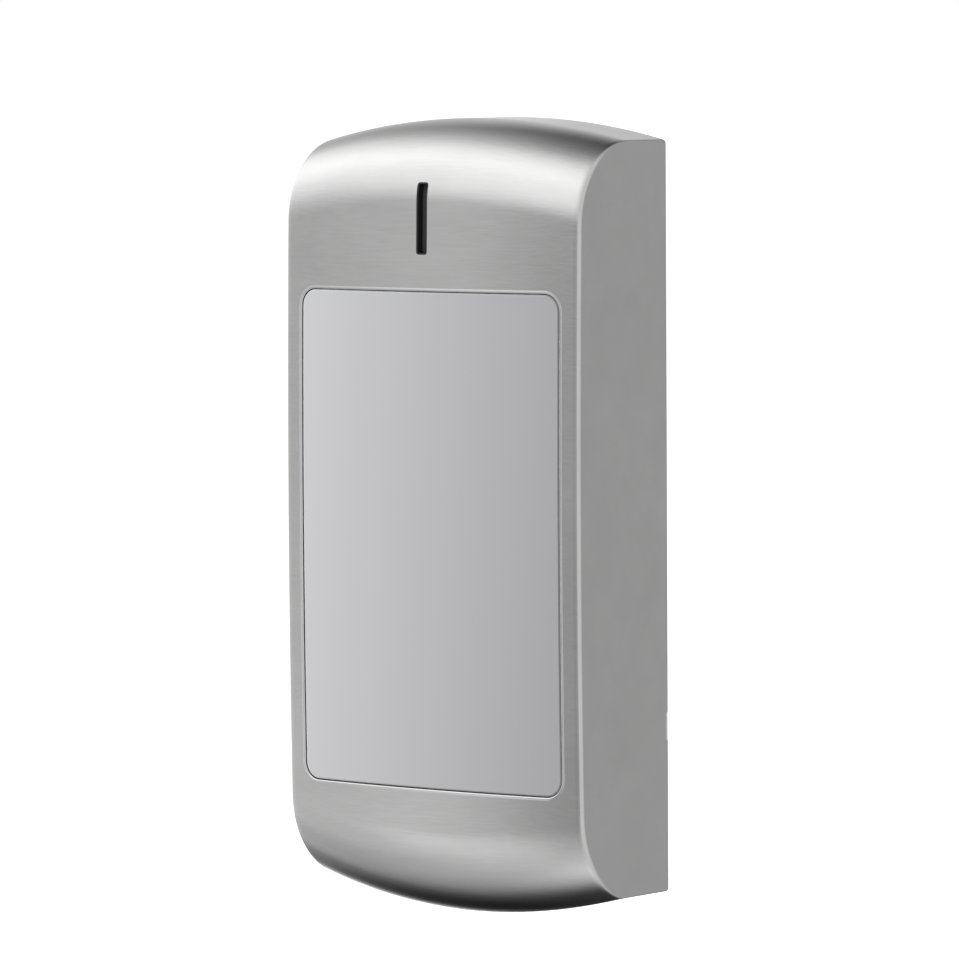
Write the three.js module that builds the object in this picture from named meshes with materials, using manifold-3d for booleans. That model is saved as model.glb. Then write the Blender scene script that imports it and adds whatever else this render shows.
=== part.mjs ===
// Wall-mounted proximity card reader: a die-cast metal housing with a plastic reading window, hooked on a steel wall plate.
// Millimetres. +Z is up, the wall is the plane Y = 0 and the front faces -Y. The origin is the centre of the wall plate's rear face.
import * as THREE from "three";
import { mergeVertices } from "three/addons/utils/BufferGeometryUtils.js";
import Module from "manifold-3d";

const wasm = await Module();
wasm.setup();

// ---- Driving dimensions ----
const WIDTH = 56;
const HEIGHT = 120; // over both arched ends, at the middle of the width
const SIDE_DEPTH = 21.8; // wall to front, at the flat side faces
const FRONT_CROWN = 2.0; // how much further the front stands at the middle of the width
const FRONT_BOW = 0.45; // how far the front falls back at BOW_REACH above and below the middle
const BOW_REACH = 42.3;
const TOP_ARCH = 3.35; // rise of the top end from the side faces to the middle
const BOTTOM_ARCH = 3.8;
const TOP_RADIUS = 12.4; // front-to-top rounding in the side profile
const BOTTOM_RADIUS = 13.7; // front-to-bottom rounding, cut off by the bottom face
const BOTTOM_DROP = 13.15; // height of that rounding above the bottom edge
const EDGE_BREAK = 0.4; // softened edge between the front and the side faces
const SIDE_WALL = 2.0;
const FRONT_WALL = 3.0;
const SEAL_THICKNESS = 0.5; // foam seal between the housing's rim and the wall
const GAP = 0.05; // between pieces that touch

// ---- Reading window and indicator ----
const PANEL_WIDTH = 48.9;
const PANEL_HEIGHT = 74.6;
const PANEL_Z = -3.1;
const PANEL_CORNER = 2.6;
const PANEL_THICKNESS = 1.5;
const PANEL_SINK = 0.12; // the panel's face below the metal around it
const PANEL_GAP = 0.3;
const TAPE_THICKNESS = 0.1;
const LEDGE = 2.6; // width of the metal ledge behind the panel's edge
const SLOT_WIDTH = 1.75;
const SLOT_HEIGHT = 10.8;
const SLOT_Z = 45.3;
const SLOT_CORNER = 0.4;
const LENS_SINK = 1.4;
const BEZEL_WALL = 0.2;

// ---- Wall plate ----
const PLATE_THICKNESS = 1.5;
const PLATE_CLEARANCE = 0.5; // to the housing's inner walls
const CABLE_OPENING = { x: 0, z: -12, width: 26, height: 16, corner: 4 };
const WALL_SCREW_SPACING = 83.3; // the vertical spacing of a single-gang wall box
const WALL_SLOT = { width: 8, height: 4, corner: 1.95 };
const HOOK = { x: 11, width: 7, z: 53.2, thickness: 1.0, reach: 6.3, lip: 1.2, rise: 2.7 };
const HOOK_RIB = { back: 2.1, front: 3.3, z: 54.3, width: 6.4 };
const LOCK_TAB = { width: 13, z: -54.6, thickness: 2.0, reach: 9.5 };

// ---- Electronics and rear cover ----
const BOARD_FRONT = -15.4;
const BOARD_THICKNESS = 1.6;
const BOARD_BACK = BOARD_FRONT + BOARD_THICKNESS;
const BOARD = { halfWidth: 24.6, low: -49.5, high: 49.5, corner: 2 };
const COVER_SCREW_X = 20.8;
const COVER_SCREW_TOP = 44.5;
const COVER_SCREW_BOTTOM = -46;
const BOARD_SCREWS = [[-13, 38.5], [13, -43.5]];
const COMPARTMENT = { halfWidth: WIDTH / 2 - SIDE_WALL, low: -50.4, high: 51.4 };
const PARTITION = 1.2;
const PARTITION_REAR = -7;
const COVER_REAR = -4.4;
const COVER_THICKNESS = 1.6;
const COVER_FRONT = COVER_REAR - COVER_THICKNESS;
const COVER_CLEARANCE = 0.2;
const SKIRT_INSET = 1.4; // from the compartment's walls to the cover's skirt
const SKIRT_WALL = 1.2;
const SKIRT_DEPTH = 4;
const HEADER = { x: 0, z: -12, width: 22.4, height: 5.8, depth: 6.9, wall: 0.8, floor: 1.2, pins: 8, pitch: 2.5 };
const TAMPER = { x: 14, z: -24, stem: 1.9, travel: 2.0 };

// ---- Lock screw ----
const LOCK_Y = -5.5;
const LOCK_SHANK = 1.45;
const LOCK_HEAD = 2.75;
const LOCK_POCKET = 3.3;
const LOCK_WASHER_TOP = -57.5;
const LOCK_PAD = { width: 11, top: -55.9, reach: 10 };
const LOCK_POCKET_TOP = LOCK_WASHER_TOP + GAP;

// ---- Derived ----
const SIDE_TOP = HEIGHT / 2 - TOP_ARCH;
const SIDE_BOTTOM = -HEIGHT / 2 + BOTTOM_ARCH;
const TOP_CENTRE = { depth: SIDE_DEPTH - TOP_RADIUS, z: SIDE_TOP - TOP_RADIUS };
const BOTTOM_CENTRE = { depth: SIDE_DEPTH - BOTTOM_RADIUS, z: SIDE_BOTTOM + BOTTOM_DROP };

// ---- Finishes ----
const finish = (color, roughness, metalness) => new THREE.MeshStandardMaterial({ color, roughness, metalness });
const FINISH = {
  nickel: finish(0xb4b4b4, 0.35, 1),
  panel: finish(0xc2c2c6, 0.45, 0),
  smoked: finish(0x2c2c2e, 0.2, 0),
  blackPlastic: finish(0x1d1d1f, 0.6, 0),
  whitePlastic: finish(0xe8e5da, 0.5, 0),
  galvanised: finish(0x9fa3a6, 0.45, 1),
  stainless: finish(0xc0c0c2, 0.3, 1),
  rubber: finish(0x242424, 0.85, 0),
  silicone: finish(0xb8b4ac, 0.7, 0),
  board: finish(0x1d5a34, 0.5, 0),
  copper: finish(0xb4622d, 0.4, 1),
  ferrite: finish(0x3a3b3d, 0.7, 0),
  chip: finish(0x202124, 0.55, 0),
  ceramic: finish(0xa98b62, 0.6, 0),
  canMetal: finish(0xc9cacc, 0.3, 1),
  redLens: finish(0xb01a14, 0.25, 0),
  greenLens: finish(0x1d9a3c, 0.25, 0),
};

// ---- Solid helpers ----
function toSolid(geometry) {
  const bare = geometry.clone();
  bare.deleteAttribute("normal");
  bare.deleteAttribute("uv");
  const merged = mergeVertices(bare, 1e-4);
  return new wasm.Manifold(
    new wasm.Mesh({
      numProp: 3,
      vertProperties: Float32Array.from(merged.attributes.position.array),
      triVerts: Uint32Array.from(merged.index.array),
    }),
  );
}

function toGeometry(solid) {
  const mesh = solid.getMesh();
  const geometry = new THREE.BufferGeometry();
  geometry.setAttribute("position", new THREE.BufferAttribute(Float32Array.from(mesh.vertProperties), 3));
  geometry.setIndex(new THREE.BufferAttribute(Uint32Array.from(mesh.triVerts), 1));
  geometry.computeVertexNormals();
  return geometry;
}

const join = (first, ...rest) => rest.reduce((whole, piece) => whole.add(piece), first);
const cut = (first, ...rest) => rest.reduce((whole, piece) => whole.subtract(piece), first);

// A box from its two corners.
function block(x0, x1, y0, y1, z0, z1) {
  const geometry = new THREE.BoxGeometry(x1 - x0, y1 - y0, z1 - z0);
  geometry.translate((x0 + x1) / 2, (y0 + y1) / 2, (z0 + z1) / 2);
  return toSolid(geometry);
}

// A shape drawn in X and Z, as a prism from y = rear forward to y = front.
function prism(shape, rear, front, curveSegments = 5) {
  const geometry = new THREE.ExtrudeGeometry(shape, { depth: rear - front, bevelEnabled: false, curveSegments });
  geometry.rotateX(Math.PI / 2);
  geometry.translate(0, rear, 0);
  return toSolid(geometry);
}

// A round bar along Y.
function barY(x, z, radius, rear, front, segments = 16) {
  const geometry = new THREE.CylinderGeometry(radius, radius, rear - front, segments);
  geometry.translate(x, (rear + front) / 2, z);
  return toSolid(geometry);
}

// A round bar along Z.
function barZ(x, y, radius, low, high, segments = 20) {
  const geometry = new THREE.CylinderGeometry(radius, radius, high - low, segments);
  geometry.rotateX(Math.PI / 2);
  geometry.translate(x, y, (low + high) / 2);
  return toSolid(geometry);
}

// A turned piece: points are [radius, height] from one end of the axis to the other, heights rising.
function turned(points, segments = 16) {
  return new THREE.LatheGeometry(points.map(([r, h]) => new THREE.Vector2(r, h)), segments);
}

function roundedRectangle(cx, cz, width, height, corner) {
  const x0 = cx - width / 2;
  const x1 = cx + width / 2;
  const z0 = cz - height / 2;
  const z1 = cz + height / 2;
  const shape = new THREE.Shape();
  shape.moveTo(x0 + corner, z0);
  shape.lineTo(x1 - corner, z0);
  shape.absarc(x1 - corner, z0 + corner, corner, -Math.PI / 2, 0);
  shape.lineTo(x1, z1 - corner);
  shape.absarc(x1 - corner, z1 - corner, corner, 0, Math.PI / 2);
  shape.lineTo(x0 + corner, z1);
  shape.absarc(x0 + corner, z1 - corner, corner, Math.PI / 2, Math.PI);
  shape.lineTo(x0, z0 + corner);
  shape.absarc(x0 + corner, z0 + corner, corner, Math.PI, 1.5 * Math.PI);
  return shape;
}

// An outline with straight sides and arched ends, parallel to the housing's own outline.
function archedOutline(inset) {
  const half = WIDTH / 2 - inset;
  const share = archShare(half);
  const top = SIDE_TOP - inset;
  const bottom = SIDE_BOTTOM + inset;
  const shape = new THREE.Shape();
  shape.moveTo(-half, bottom - BOTTOM_ARCH * share);
  shape.quadraticCurveTo(0, bottom - BOTTOM_ARCH * (2 - share), half, bottom - BOTTOM_ARCH * share);
  shape.lineTo(half, top + TOP_ARCH * share);
  shape.quadraticCurveTo(0, top + TOP_ARCH * (2 - share), -half, top + TOP_ARCH * share);
  shape.closePath();
  return shape;
}

// ---- Housing form ----
// Share of the end arches and of the front crown at a place across the width.
function archShare(x) {
  return 1 - (2 * x / WIDTH) ** 2;
}

// The side profile as [depth, z] pairs, from the rear top corner round the front to the rear bottom corner.
function sideProfile(endInset, frontInset, rear, steps) {
  const points = [[rear, SIDE_TOP - endInset]];
  for (let i = 0; i <= steps; i++) {
    const angle = (i / steps) * (Math.PI / 2);
    points.push([
      TOP_CENTRE.depth + (TOP_RADIUS - frontInset) * Math.sin(angle),
      TOP_CENTRE.z + (TOP_RADIUS - endInset) * Math.cos(angle),
    ]);
  }
  for (let i = 1; i < steps; i++) {
    points.push([SIDE_DEPTH - frontInset, THREE.MathUtils.lerp(TOP_CENTRE.z, BOTTOM_CENTRE.z, i / steps)]);
  }
  const lastAngle = Math.asin((BOTTOM_DROP - endInset) / (BOTTOM_RADIUS - endInset));
  for (let i = 0; i <= steps; i++) {
    const angle = (i / steps) * lastAngle;
    points.push([
      BOTTOM_CENTRE.depth + (BOTTOM_RADIUS - frontInset) * Math.cos(angle),
      BOTTOM_CENTRE.z - (BOTTOM_RADIUS - endInset) * Math.sin(angle),
    ]);
  }
  points.push([rear, SIDE_BOTTOM + endInset]);
  return points;
}

// Carries a point of the side profile to its place across the width, with the crown, the bow and the arches added.
function shaped(x, [depth, z]) {
  const share = archShare(x);
  const bow = FRONT_BOW * (z / BOW_REACH) ** 2;
  const stretch = 1 + (FRONT_CROWN * share - bow) / (SIDE_DEPTH - SEAL_THICKNESS);
  const upper = THREE.MathUtils.clamp((z - BOTTOM_CENTRE.z) / (TOP_CENTRE.z - BOTTOM_CENTRE.z), 0, 1);
  return [
    x,
    -(SEAL_THICKNESS + (depth - SEAL_THICKNESS) * stretch),
    z + share * (TOP_ARCH * upper - BOTTOM_ARCH * (1 - upper)),
  ];
}

// The closed form of the housing, its side faces at halfWidth, its ends and front set in by the insets.
function housingForm({ sideInset, endInset, frontInset, rear, edge = 0, slices = 10, steps = 6 }) {
  const half = WIDTH / 2 - sideInset;
  const rows = [];
  if (edge) rows.push([-half, edge]);
  for (let i = 0; i <= slices; i++) rows.push([(half - edge) * (2 * i / slices - 1), 0]);
  if (edge) rows.push([half, edge]);
  const rings = rows.map(([x, extra]) =>
    sideProfile(endInset + extra, frontInset + extra, rear, steps).map((point) => shaped(x, point)),
  );
  const count = rings[0].length;
  const index = [];
  const quad = (a, b, c, d) => index.push(a, b, c, a, c, d);
  for (let row = 0; row + 1 < rings.length; row++) {
    for (let i = 0; i < count; i++) {
      const next = (i + 1) % count;
      quad(row * count + i, row * count + next, (row + 1) * count + next, (row + 1) * count + i);
    }
  }
  const last = (rings.length - 1) * count;
  for (let i = 1; i + 1 < count; i++) {
    index.push(0, i + 1, i);
    index.push(last, last + i, last + i + 1);
  }
  const geometry = new THREE.BufferGeometry();
  geometry.setAttribute("position", new THREE.Float32BufferAttribute(rings.flat(2), 3));
  geometry.setIndex(index);
  return toSolid(geometry);
}

// The housing's outer form set in evenly by a distance: used to give pieces its crowned surface.
const envelope = (inset) => housingForm({ sideInset: inset, endInset: inset, frontInset: inset, rear: 0 });

// ---- Named meshes ----
const reader = new THREE.Group();

function add(name, solid, material, parent = reader) {
  const mesh = new THREE.Mesh(solid.isBufferGeometry ? solid : toGeometry(solid), material);
  mesh.name = name;
  parent.add(mesh);
  return mesh;
}

// ---- Housing ----
const panelOutline = (grow) =>
  roundedRectangle(0, PANEL_Z, PANEL_WIDTH + 2 * grow, PANEL_HEIGHT + 2 * grow, PANEL_CORNER + grow);
const slotOutline = (grow) =>
  roundedRectangle(0, SLOT_Z, SLOT_WIDTH + 2 * grow, SLOT_HEIGHT + 2 * grow, Math.max(SLOT_CORNER + grow, 0.12));
const FAR_FRONT = -30;
const panelBack = PANEL_SINK + PANEL_THICKNESS;
const ledgeDepth = panelBack + TAPE_THICKNESS + 2 * GAP;

function lockPocket() {
  const pocket = join(
    barZ(0, LOCK_Y, LOCK_POCKET, -HEIGHT, LOCK_POCKET_TOP, 24),
    block(-LOCK_POCKET, LOCK_POCKET, LOCK_Y, 1, -HEIGHT, LOCK_POCKET_TOP),
  );
  const notch = LOCK_SHANK + 0.35;
  return join(
    pocket,
    barZ(0, LOCK_Y, notch, -HEIGHT, LOCK_PAD.top + 1),
    block(-notch, notch, LOCK_Y, 1, -HEIGHT, LOCK_PAD.top + 1),
  );
}

const RIM_NIB = { z: -31.3, length: 4.3, inner: 27.0, outer: 27.7 };
function rimNib(side, grow) {
  const x = [side * (RIM_NIB.inner - grow), side * (RIM_NIB.outer + 5 * grow)].sort((a, b) => a - b);
  const half = RIM_NIB.length / 2 + grow;
  return block(x[0], x[1], -1, -GAP + grow, RIM_NIB.z - half, RIM_NIB.z + half);
}

function frontHousing() {
  const shell = cut(
    housingForm({ sideInset: 0, endInset: 0, frontInset: 0, rear: SEAL_THICKNESS + GAP, edge: EDGE_BREAK }),
    housingForm({ sideInset: SIDE_WALL, endInset: SIDE_WALL, frontInset: FRONT_WALL, rear: 0 }),
  );
  const inside = [];
  for (const x of [-COVER_SCREW_X, COVER_SCREW_X]) {
    for (const z of [COVER_SCREW_TOP, COVER_SCREW_BOTTOM]) {
      inside.push(barY(x, z, 3.2, BOARD_FRONT, FAR_FRONT));
      const wall = Math.sign(x) * COMPARTMENT.halfWidth;
      inside.push(block(Math.min(x, wall * 1.02), Math.max(x, wall * 1.02), FAR_FRONT, BOARD_FRONT - 1, z - 1, z + 1));
    }
  }
  for (const [x, z] of BOARD_SCREWS) inside.push(barY(x, z, 2.4, BOARD_FRONT, FAR_FRONT));
  const reach = COMPARTMENT.halfWidth + 0.5;
  inside.push(block(-reach, reach, FAR_FRONT, PARTITION_REAR, COMPARTMENT.high, COMPARTMENT.high + PARTITION));
  inside.push(block(-reach, reach, FAR_FRONT, PARTITION_REAR, COMPARTMENT.low - PARTITION, COMPARTMENT.low));
  for (const side of [-1, 1]) {
    const x0 = side * HOOK.x - HOOK_RIB.width / 2;
    inside.push(block(x0, x0 + HOOK_RIB.width, -HOOK_RIB.front, -HOOK_RIB.back, HOOK_RIB.z, HEIGHT));
  }
  const padHalf = LOCK_PAD.width / 2;
  inside.push(block(-padHalf, padHalf, -LOCK_PAD.reach, -SEAL_THICKNESS - GAP, -HEIGHT, LOCK_PAD.top));
  const outerSkin = housingForm({ sideInset: 1, endInset: 1, frontInset: 1, rear: 0 });
  const features = join(...inside).intersect(outerSkin);
  const holes = [];
  for (const x of [-COVER_SCREW_X, COVER_SCREW_X]) {
    for (const z of [COVER_SCREW_TOP, COVER_SCREW_BOTTOM]) holes.push(barY(x, z, 1.2, 0, -19.7, 16));
  }
  for (const [x, z] of BOARD_SCREWS) holes.push(barY(x, z, 1.1, 0, -19.2, 16));
  return cut(
    join(shell, features, rimNib(-1, 0), rimNib(1, 0)),
    cut(prism(panelOutline(PANEL_GAP), -10, FAR_FRONT), envelope(ledgeDepth)),
    prism(panelOutline(-LEDGE), -10, FAR_FRONT),
    prism(slotOutline(0), -10, FAR_FRONT, 4),
    lockPocket(),
    ...holes,
  );
}

const bodyHousing = new THREE.Group();
reader.add(bodyHousing);
const addInside = (name, solid, material) => add(name, solid, material, bodyHousing);

addInside("front_housing", frontHousing(), FINISH.nickel);
addInside(
  "reading_panel",
  cut(prism(panelOutline(0), -10, FAR_FRONT).intersect(envelope(PANEL_SINK)), envelope(panelBack)),
  FINISH.panel,
);
addInside(
  "panel_tape",
  cut(
    cut(prism(panelOutline(-0.3), -10, FAR_FRONT), prism(panelOutline(-LEDGE + 0.2), -9, FAR_FRONT - 1))
      .intersect(envelope(panelBack + GAP)),
    envelope(panelBack + GAP + TAPE_THICKNESS),
  ),
  FINISH.silicone,
);

// ---- Indicator: a black liner in the slot, a smoked light guide in it and a shroud back to the lamps ----
const LENS_FLANGE = { width: 4, height: 11.9, rear: -18.8 };
addInside(
  "indicator_bezel",
  cut(
    prism(slotOutline(-GAP), -10, FAR_FRONT, 4).intersect(envelope(PANEL_SINK)),
    envelope(FRONT_WALL - 2 * GAP),
    prism(slotOutline(-GAP - BEZEL_WALL), -9, FAR_FRONT, 4),
  ),
  FINISH.blackPlastic,
);
addInside(
  "indicator_lens",
  join(
    prism(slotOutline(-2 * GAP - BEZEL_WALL), LENS_FLANGE.rear, FAR_FRONT, 4).intersect(envelope(LENS_SINK)),
    prism(roundedRectangle(0, SLOT_Z, LENS_FLANGE.width, LENS_FLANGE.height, 1), LENS_FLANGE.rear, FAR_FRONT, 4)
      .intersect(envelope(FRONT_WALL + 2 * GAP)),
  ),
  FINISH.smoked,
);
addInside(
  "light_shroud",
  cut(
    prism(roundedRectangle(0, SLOT_Z - 1, 6.4, 13.6, 1), BOARD_FRONT - GAP, LENS_FLANGE.rear + GAP, 4),
    prism(roundedRectangle(0, SLOT_Z - 1, 4.6, 11.8, 0.6), BOARD_FRONT + 1, LENS_FLANGE.rear - 1, 4),
  ),
  FINISH.blackPlastic,
);
const LAMP = { width: 3.2, height: 2.8, depth: 1.9 };
function lamp(z) {
  const front = BOARD_FRONT - GAP;
  const base = block(-LAMP.width / 2, LAMP.width / 2, front - LAMP.depth + 0.6, front, z - LAMP.height / 2, z + LAMP.height / 2);
  return join(base, barY(0, z, 1.2, front - LAMP.depth + 1, front - LAMP.depth, 20));
}
addInside("lamp_red", lamp(SLOT_Z + 1.6), FINISH.redLens);
addInside("lamp_green", lamp(SLOT_Z - 3.4), FINISH.greenLens);

// ---- Circuit board and what is soldered to it ----
const boardShape = roundedRectangle(
  0,
  (BOARD.low + BOARD.high) / 2,
  2 * BOARD.halfWidth,
  BOARD.high - BOARD.low,
  BOARD.corner,
);
addInside(
  "circuit_board",
  cut(
    prism(boardShape, BOARD_BACK, BOARD_FRONT, 4),
    ...[-COVER_SCREW_X, COVER_SCREW_X].flatMap((x) =>
      [COVER_SCREW_TOP, COVER_SCREW_BOTTOM].map((z) => barY(x, z, 1.4, 0, -20, 16)),
    ),
    ...BOARD_SCREWS.map(([x, z]) => barY(x, z, 1.25, 0, -20, 16)),
  ),
  FINISH.board,
);

// A rectangular ring, from y = rear forward to y = front.
function frame(outerWidth, outerHeight, innerWidth, innerHeight, corner, rear, front) {
  const innerCorner = Math.max(corner - (outerWidth - innerWidth) / 2, 0.4);
  return cut(
    prism(roundedRectangle(0, PANEL_Z, outerWidth, outerHeight, corner), rear, front, 4),
    prism(roundedRectangle(0, PANEL_Z, innerWidth, innerHeight, innerCorner), rear + 1, front - 1, 4),
  );
}
const FORMER_REAR = BOARD_FRONT - GAP;
addInside(
  "coil_former",
  join(
    frame(42.6, 66.6, 34, 58, 5, FORMER_REAR, FORMER_REAR - 0.6),
    frame(36.8, 60.8, 34.8, 58.8, 2.6, FORMER_REAR - 0.5, FORMER_REAR - 2.9),
  ),
  FINISH.blackPlastic,
);
addInside("antenna_coil", frame(41.6, 65.6, 37, 61, 4.6, FORMER_REAR - 0.65, FORMER_REAR - 2.6), FINISH.copper);
addInside(
  "ferrite_sheet",
  prism(roundedRectangle(0, PANEL_Z, 33, 57, 1), FORMER_REAR, FORMER_REAR - 0.4, 3),
  FINISH.ferrite,
);

// A component standing on the board's rear face, its centre at x and z.
function onBoard(x, z, width, height, tall) {
  const rear = BOARD_BACK + GAP + tall;
  return block(x - width / 2, x + width / 2, BOARD_BACK + GAP, rear, z - height / 2, z + height / 2);
}
const BUZZER = { x: -12, z: 24, radius: 6, tall: 6.2 };
const buzzerRear = BOARD_BACK + GAP + BUZZER.tall;
addInside(
  "buzzer",
  cut(
    barY(BUZZER.x, BUZZER.z, BUZZER.radius, buzzerRear, BOARD_BACK + GAP, 24),
    barY(BUZZER.x, BUZZER.z, 1, buzzerRear + 1, buzzerRear - 2, 16),
  ),
  FINISH.blackPlastic,
);
addInside("microcontroller", onBoard(2, 12, 10, 10, 1.6), FINISH.chip);
addInside("reader_chip", onBoard(3, 0.5, 10, 4.4, 1.7), FINISH.chip);
addInside("line_driver", onBoard(-14, -3, 5, 4, 1.6), FINISH.chip);
addInside("crystal", onBoard(-9, 8, 4.6, 11, 3.4), FINISH.canMetal);
addInside("voltage_regulator", onBoard(15, 14, 6.5, 3.6, 1.7), FINISH.chip);
addInside("power_inductor", onBoard(15, 33, 6, 6, 3), FINISH.ferrite);
addInside("surge_diode", onBoard(-16, -16, 2.7, 4.4, 2.2), FINISH.chip);
const CAPACITOR = { x: 15, z: 23.5, radius: 3.1 };
addInside(
  "smoothing_capacitor",
  join(
    onBoard(CAPACITOR.x, CAPACITOR.z, 6.6, 6.6, 1),
    barY(CAPACITOR.x, CAPACITOR.z, CAPACITOR.radius, BOARD_BACK + GAP + 5.6, BOARD_BACK + 0.5, 20),
  ),
  FINISH.canMetal,
);
const RESISTOR_PLACES = [[-4, 26], [-4, 22.5], [8, 27], [-16, 5]];
RESISTOR_PLACES.forEach(([x, z], i) => addInside(`resistor_${i + 1}`, onBoard(x, z, 2, 1.25, 0.55), FINISH.chip));
const CERAMIC_PLACES = [[9.5, 6], [-4.5, 14], [11, -3], [-16, 11]];
CERAMIC_PLACES.forEach(([x, z], i) => addInside(`ceramic_capacitor_${i + 1}`, onBoard(x, z, 2, 1.25, 1.1), FINISH.ceramic));

function wireHeader() {
  const { x, z, width, height, depth, wall, floor, pins, pitch } = HEADER;
  const cavity = block(
    x - width / 2 + wall,
    x + width / 2 - wall,
    BOARD_BACK + floor,
    0,
    z - height / 2 + wall,
    z + height / 2 - wall,
  );
  const posts = [];
  for (let i = 0; i < pins; i++) {
    const px = x + (i - (pins - 1) / 2) * pitch;
    posts.push(block(px - 0.32, px + 0.32, BOARD_BACK + 0.5, BOARD_BACK + depth - 1.4, z - 0.32, z + 0.32));
  }
  return join(cut(onBoard(x, z, width, height, depth), cavity), ...posts);
}
addInside("wire_header", wireHeader(), FINISH.whitePlastic);

// ---- Tamper switch: a push switch, a sprung plunger that reaches the wall, and its spring ----
const SWITCH_TALL = 1.8;
const SWITCH_TOP = BOARD_BACK + GAP + SWITCH_TALL;
addInside(
  "tamper_switch",
  join(onBoard(TAMPER.x, TAMPER.z, 6, 6, SWITCH_TALL), barY(TAMPER.x, TAMPER.z, 0.75, SWITCH_TOP + 0.4, SWITCH_TOP - 0.2, 16)),
  FINISH.blackPlastic,
);
const CUP = { radius: 3, inner: 2.1, front: SWITCH_TOP + 0.5, floor: -8.9, shoulder: -8.2, pin: 0.7 };
function tamperPlunger() {
  const { radius, inner, front, floor, shoulder, pin } = CUP;
  const tip = -GAP;
  return turned([
    [0, SWITCH_TOP + 0.6],
    [pin, SWITCH_TOP + 0.6],
    [pin, floor],
    [inner, floor],
    [inner, front],
    [radius, front],
    [radius, shoulder],
    [TAMPER.stem, shoulder],
    [TAMPER.stem, tip - 0.4],
    [TAMPER.stem - 0.4, tip],
    [0, tip],
  ], 20);
}
const plunger = add("tamper_plunger", tamperPlunger(), FINISH.whitePlastic);
plunger.position.set(TAMPER.x, 0, TAMPER.z);

class Coil extends THREE.Curve {
  constructor(radius, turns, length) {
    super();
    Object.assign(this, { radius, turns, length });
  }
  getPoint(t, target = new THREE.Vector3()) {
    const angle = 2 * Math.PI * this.turns * t;
    return target.set(this.radius * Math.cos(angle), this.length * t, this.radius * Math.sin(angle));
  }
}
const SPRING = { radius: 1.45, wire: 0.2, turns: 4 };
const springStart = SWITCH_TOP + SPRING.wire + GAP;
const springLength = CUP.floor - SPRING.wire - GAP - springStart;
const wireSection = new THREE.Shape();
wireSection.absarc(0, 0, SPRING.wire, 0, 2 * Math.PI);
const springWire = new THREE.ExtrudeGeometry(wireSection, {
  steps: 10 * SPRING.turns,
  curveSegments: 3,
  extrudePath: new Coil(SPRING.radius, SPRING.turns, springLength),
});
const spring = addInside("tamper_spring", springWire, FINISH.stainless);
spring.position.set(TAMPER.x, springStart, TAMPER.z);

// ---- Rear cover, its seal and its screws ----
function compartmentOutline(inset) {
  const { halfWidth, low, high } = COMPARTMENT;
  return roundedRectangle(0, (low + high) / 2, 2 * (halfWidth - inset), high - low - 2 * inset, Math.max(2.4 - inset, 0.6));
}
const COVER_WINDOW = { width: 26, height: 9.4, corner: 1.5 };
const GUIDE = { inner: CUP.radius + 0.25, outer: CUP.radius + 1.25, front: CUP.front - 0.2, hole: TAMPER.stem + 0.3 };
function rearCover() {
  const posts = [-COVER_SCREW_X, COVER_SCREW_X].flatMap((x) =>
    [COVER_SCREW_TOP, COVER_SCREW_BOTTOM].map((z) => barY(x, z, 2.7, COVER_FRONT + 0.5, BOARD_BACK + GAP)),
  );
  const skirt = cut(
    prism(compartmentOutline(SKIRT_INSET), COVER_FRONT + 0.5, COVER_FRONT - SKIRT_DEPTH, 4),
    prism(compartmentOutline(SKIRT_INSET + SKIRT_WALL), COVER_FRONT + 1, COVER_FRONT - SKIRT_DEPTH - 1, 4),
  );
  const screwHoles = [-COVER_SCREW_X, COVER_SCREW_X].flatMap((x) =>
    [COVER_SCREW_TOP, COVER_SCREW_BOTTOM].map((z) => barY(x, z, 1.4, 0, -20, 16)),
  );
  return cut(
    join(
      prism(compartmentOutline(COVER_CLEARANCE), COVER_REAR, COVER_FRONT, 4),
      skirt,
      barY(TAMPER.x, TAMPER.z, GUIDE.outer, COVER_FRONT + 0.5, GUIDE.front, 20),
      ...posts,
    ),
    prism(roundedRectangle(HEADER.x, HEADER.z, COVER_WINDOW.width, COVER_WINDOW.height, COVER_WINDOW.corner), 0, -8, 4),
    barY(TAMPER.x, TAMPER.z, GUIDE.inner, COVER_FRONT, -20, 20),
    barY(TAMPER.x, TAMPER.z, GUIDE.hole, 0, -20, 20),
    ...screwHoles,
  );
}
addInside("rear_cover", rearCover(), FINISH.blackPlastic);
addInside(
  "cover_seal",
  cut(
    prism(compartmentOutline(2 * GAP), COVER_FRONT - GAP, COVER_FRONT - 2, 4),
    prism(compartmentOutline(SKIRT_INSET - 2 * GAP), COVER_FRONT + 1, COVER_FRONT - 3, 4),
  ),
  FINISH.silicone,
);

// A pan-head screw with a cross recess, its head's underside at height 0 and its shank pointing down the axis.
function panHeadScrew({ headRadius, headHeight, shankRadius, length }) {
  const body = turned([
    [0, -length],
    [shankRadius * 0.6, -length],
    [shankRadius, -length + shankRadius],
    [shankRadius, 0],
    [headRadius, 0],
    [headRadius, headHeight * 0.45],
    [headRadius * 0.75, headHeight * 0.9],
    [headRadius * 0.4, headHeight],
    [0, headHeight],
  ], 14);
  const arm = headRadius * 0.55;
  const recess = headHeight * 0.45;
  const bar = (sx, sz) => block(-sx, sx, recess, headHeight + 1, -sz, sz);
  return toGeometry(cut(toSolid(body), bar(arm, 0.24), bar(0.24, arm)));
}
const coverScrew = panHeadScrew({ headRadius: 2.3, headHeight: 1.4, shankRadius: 1.0, length: 14.8 });
let coverScrewNumber = 0;
for (const x of [-COVER_SCREW_X, COVER_SCREW_X]) {
  for (const z of [COVER_SCREW_TOP, COVER_SCREW_BOTTOM]) {
    coverScrewNumber += 1;
    addInside(`cover_screw_${coverScrewNumber}`, coverScrew, FINISH.stainless).position.set(x, COVER_REAR + GAP, z);
  }
}
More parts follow.
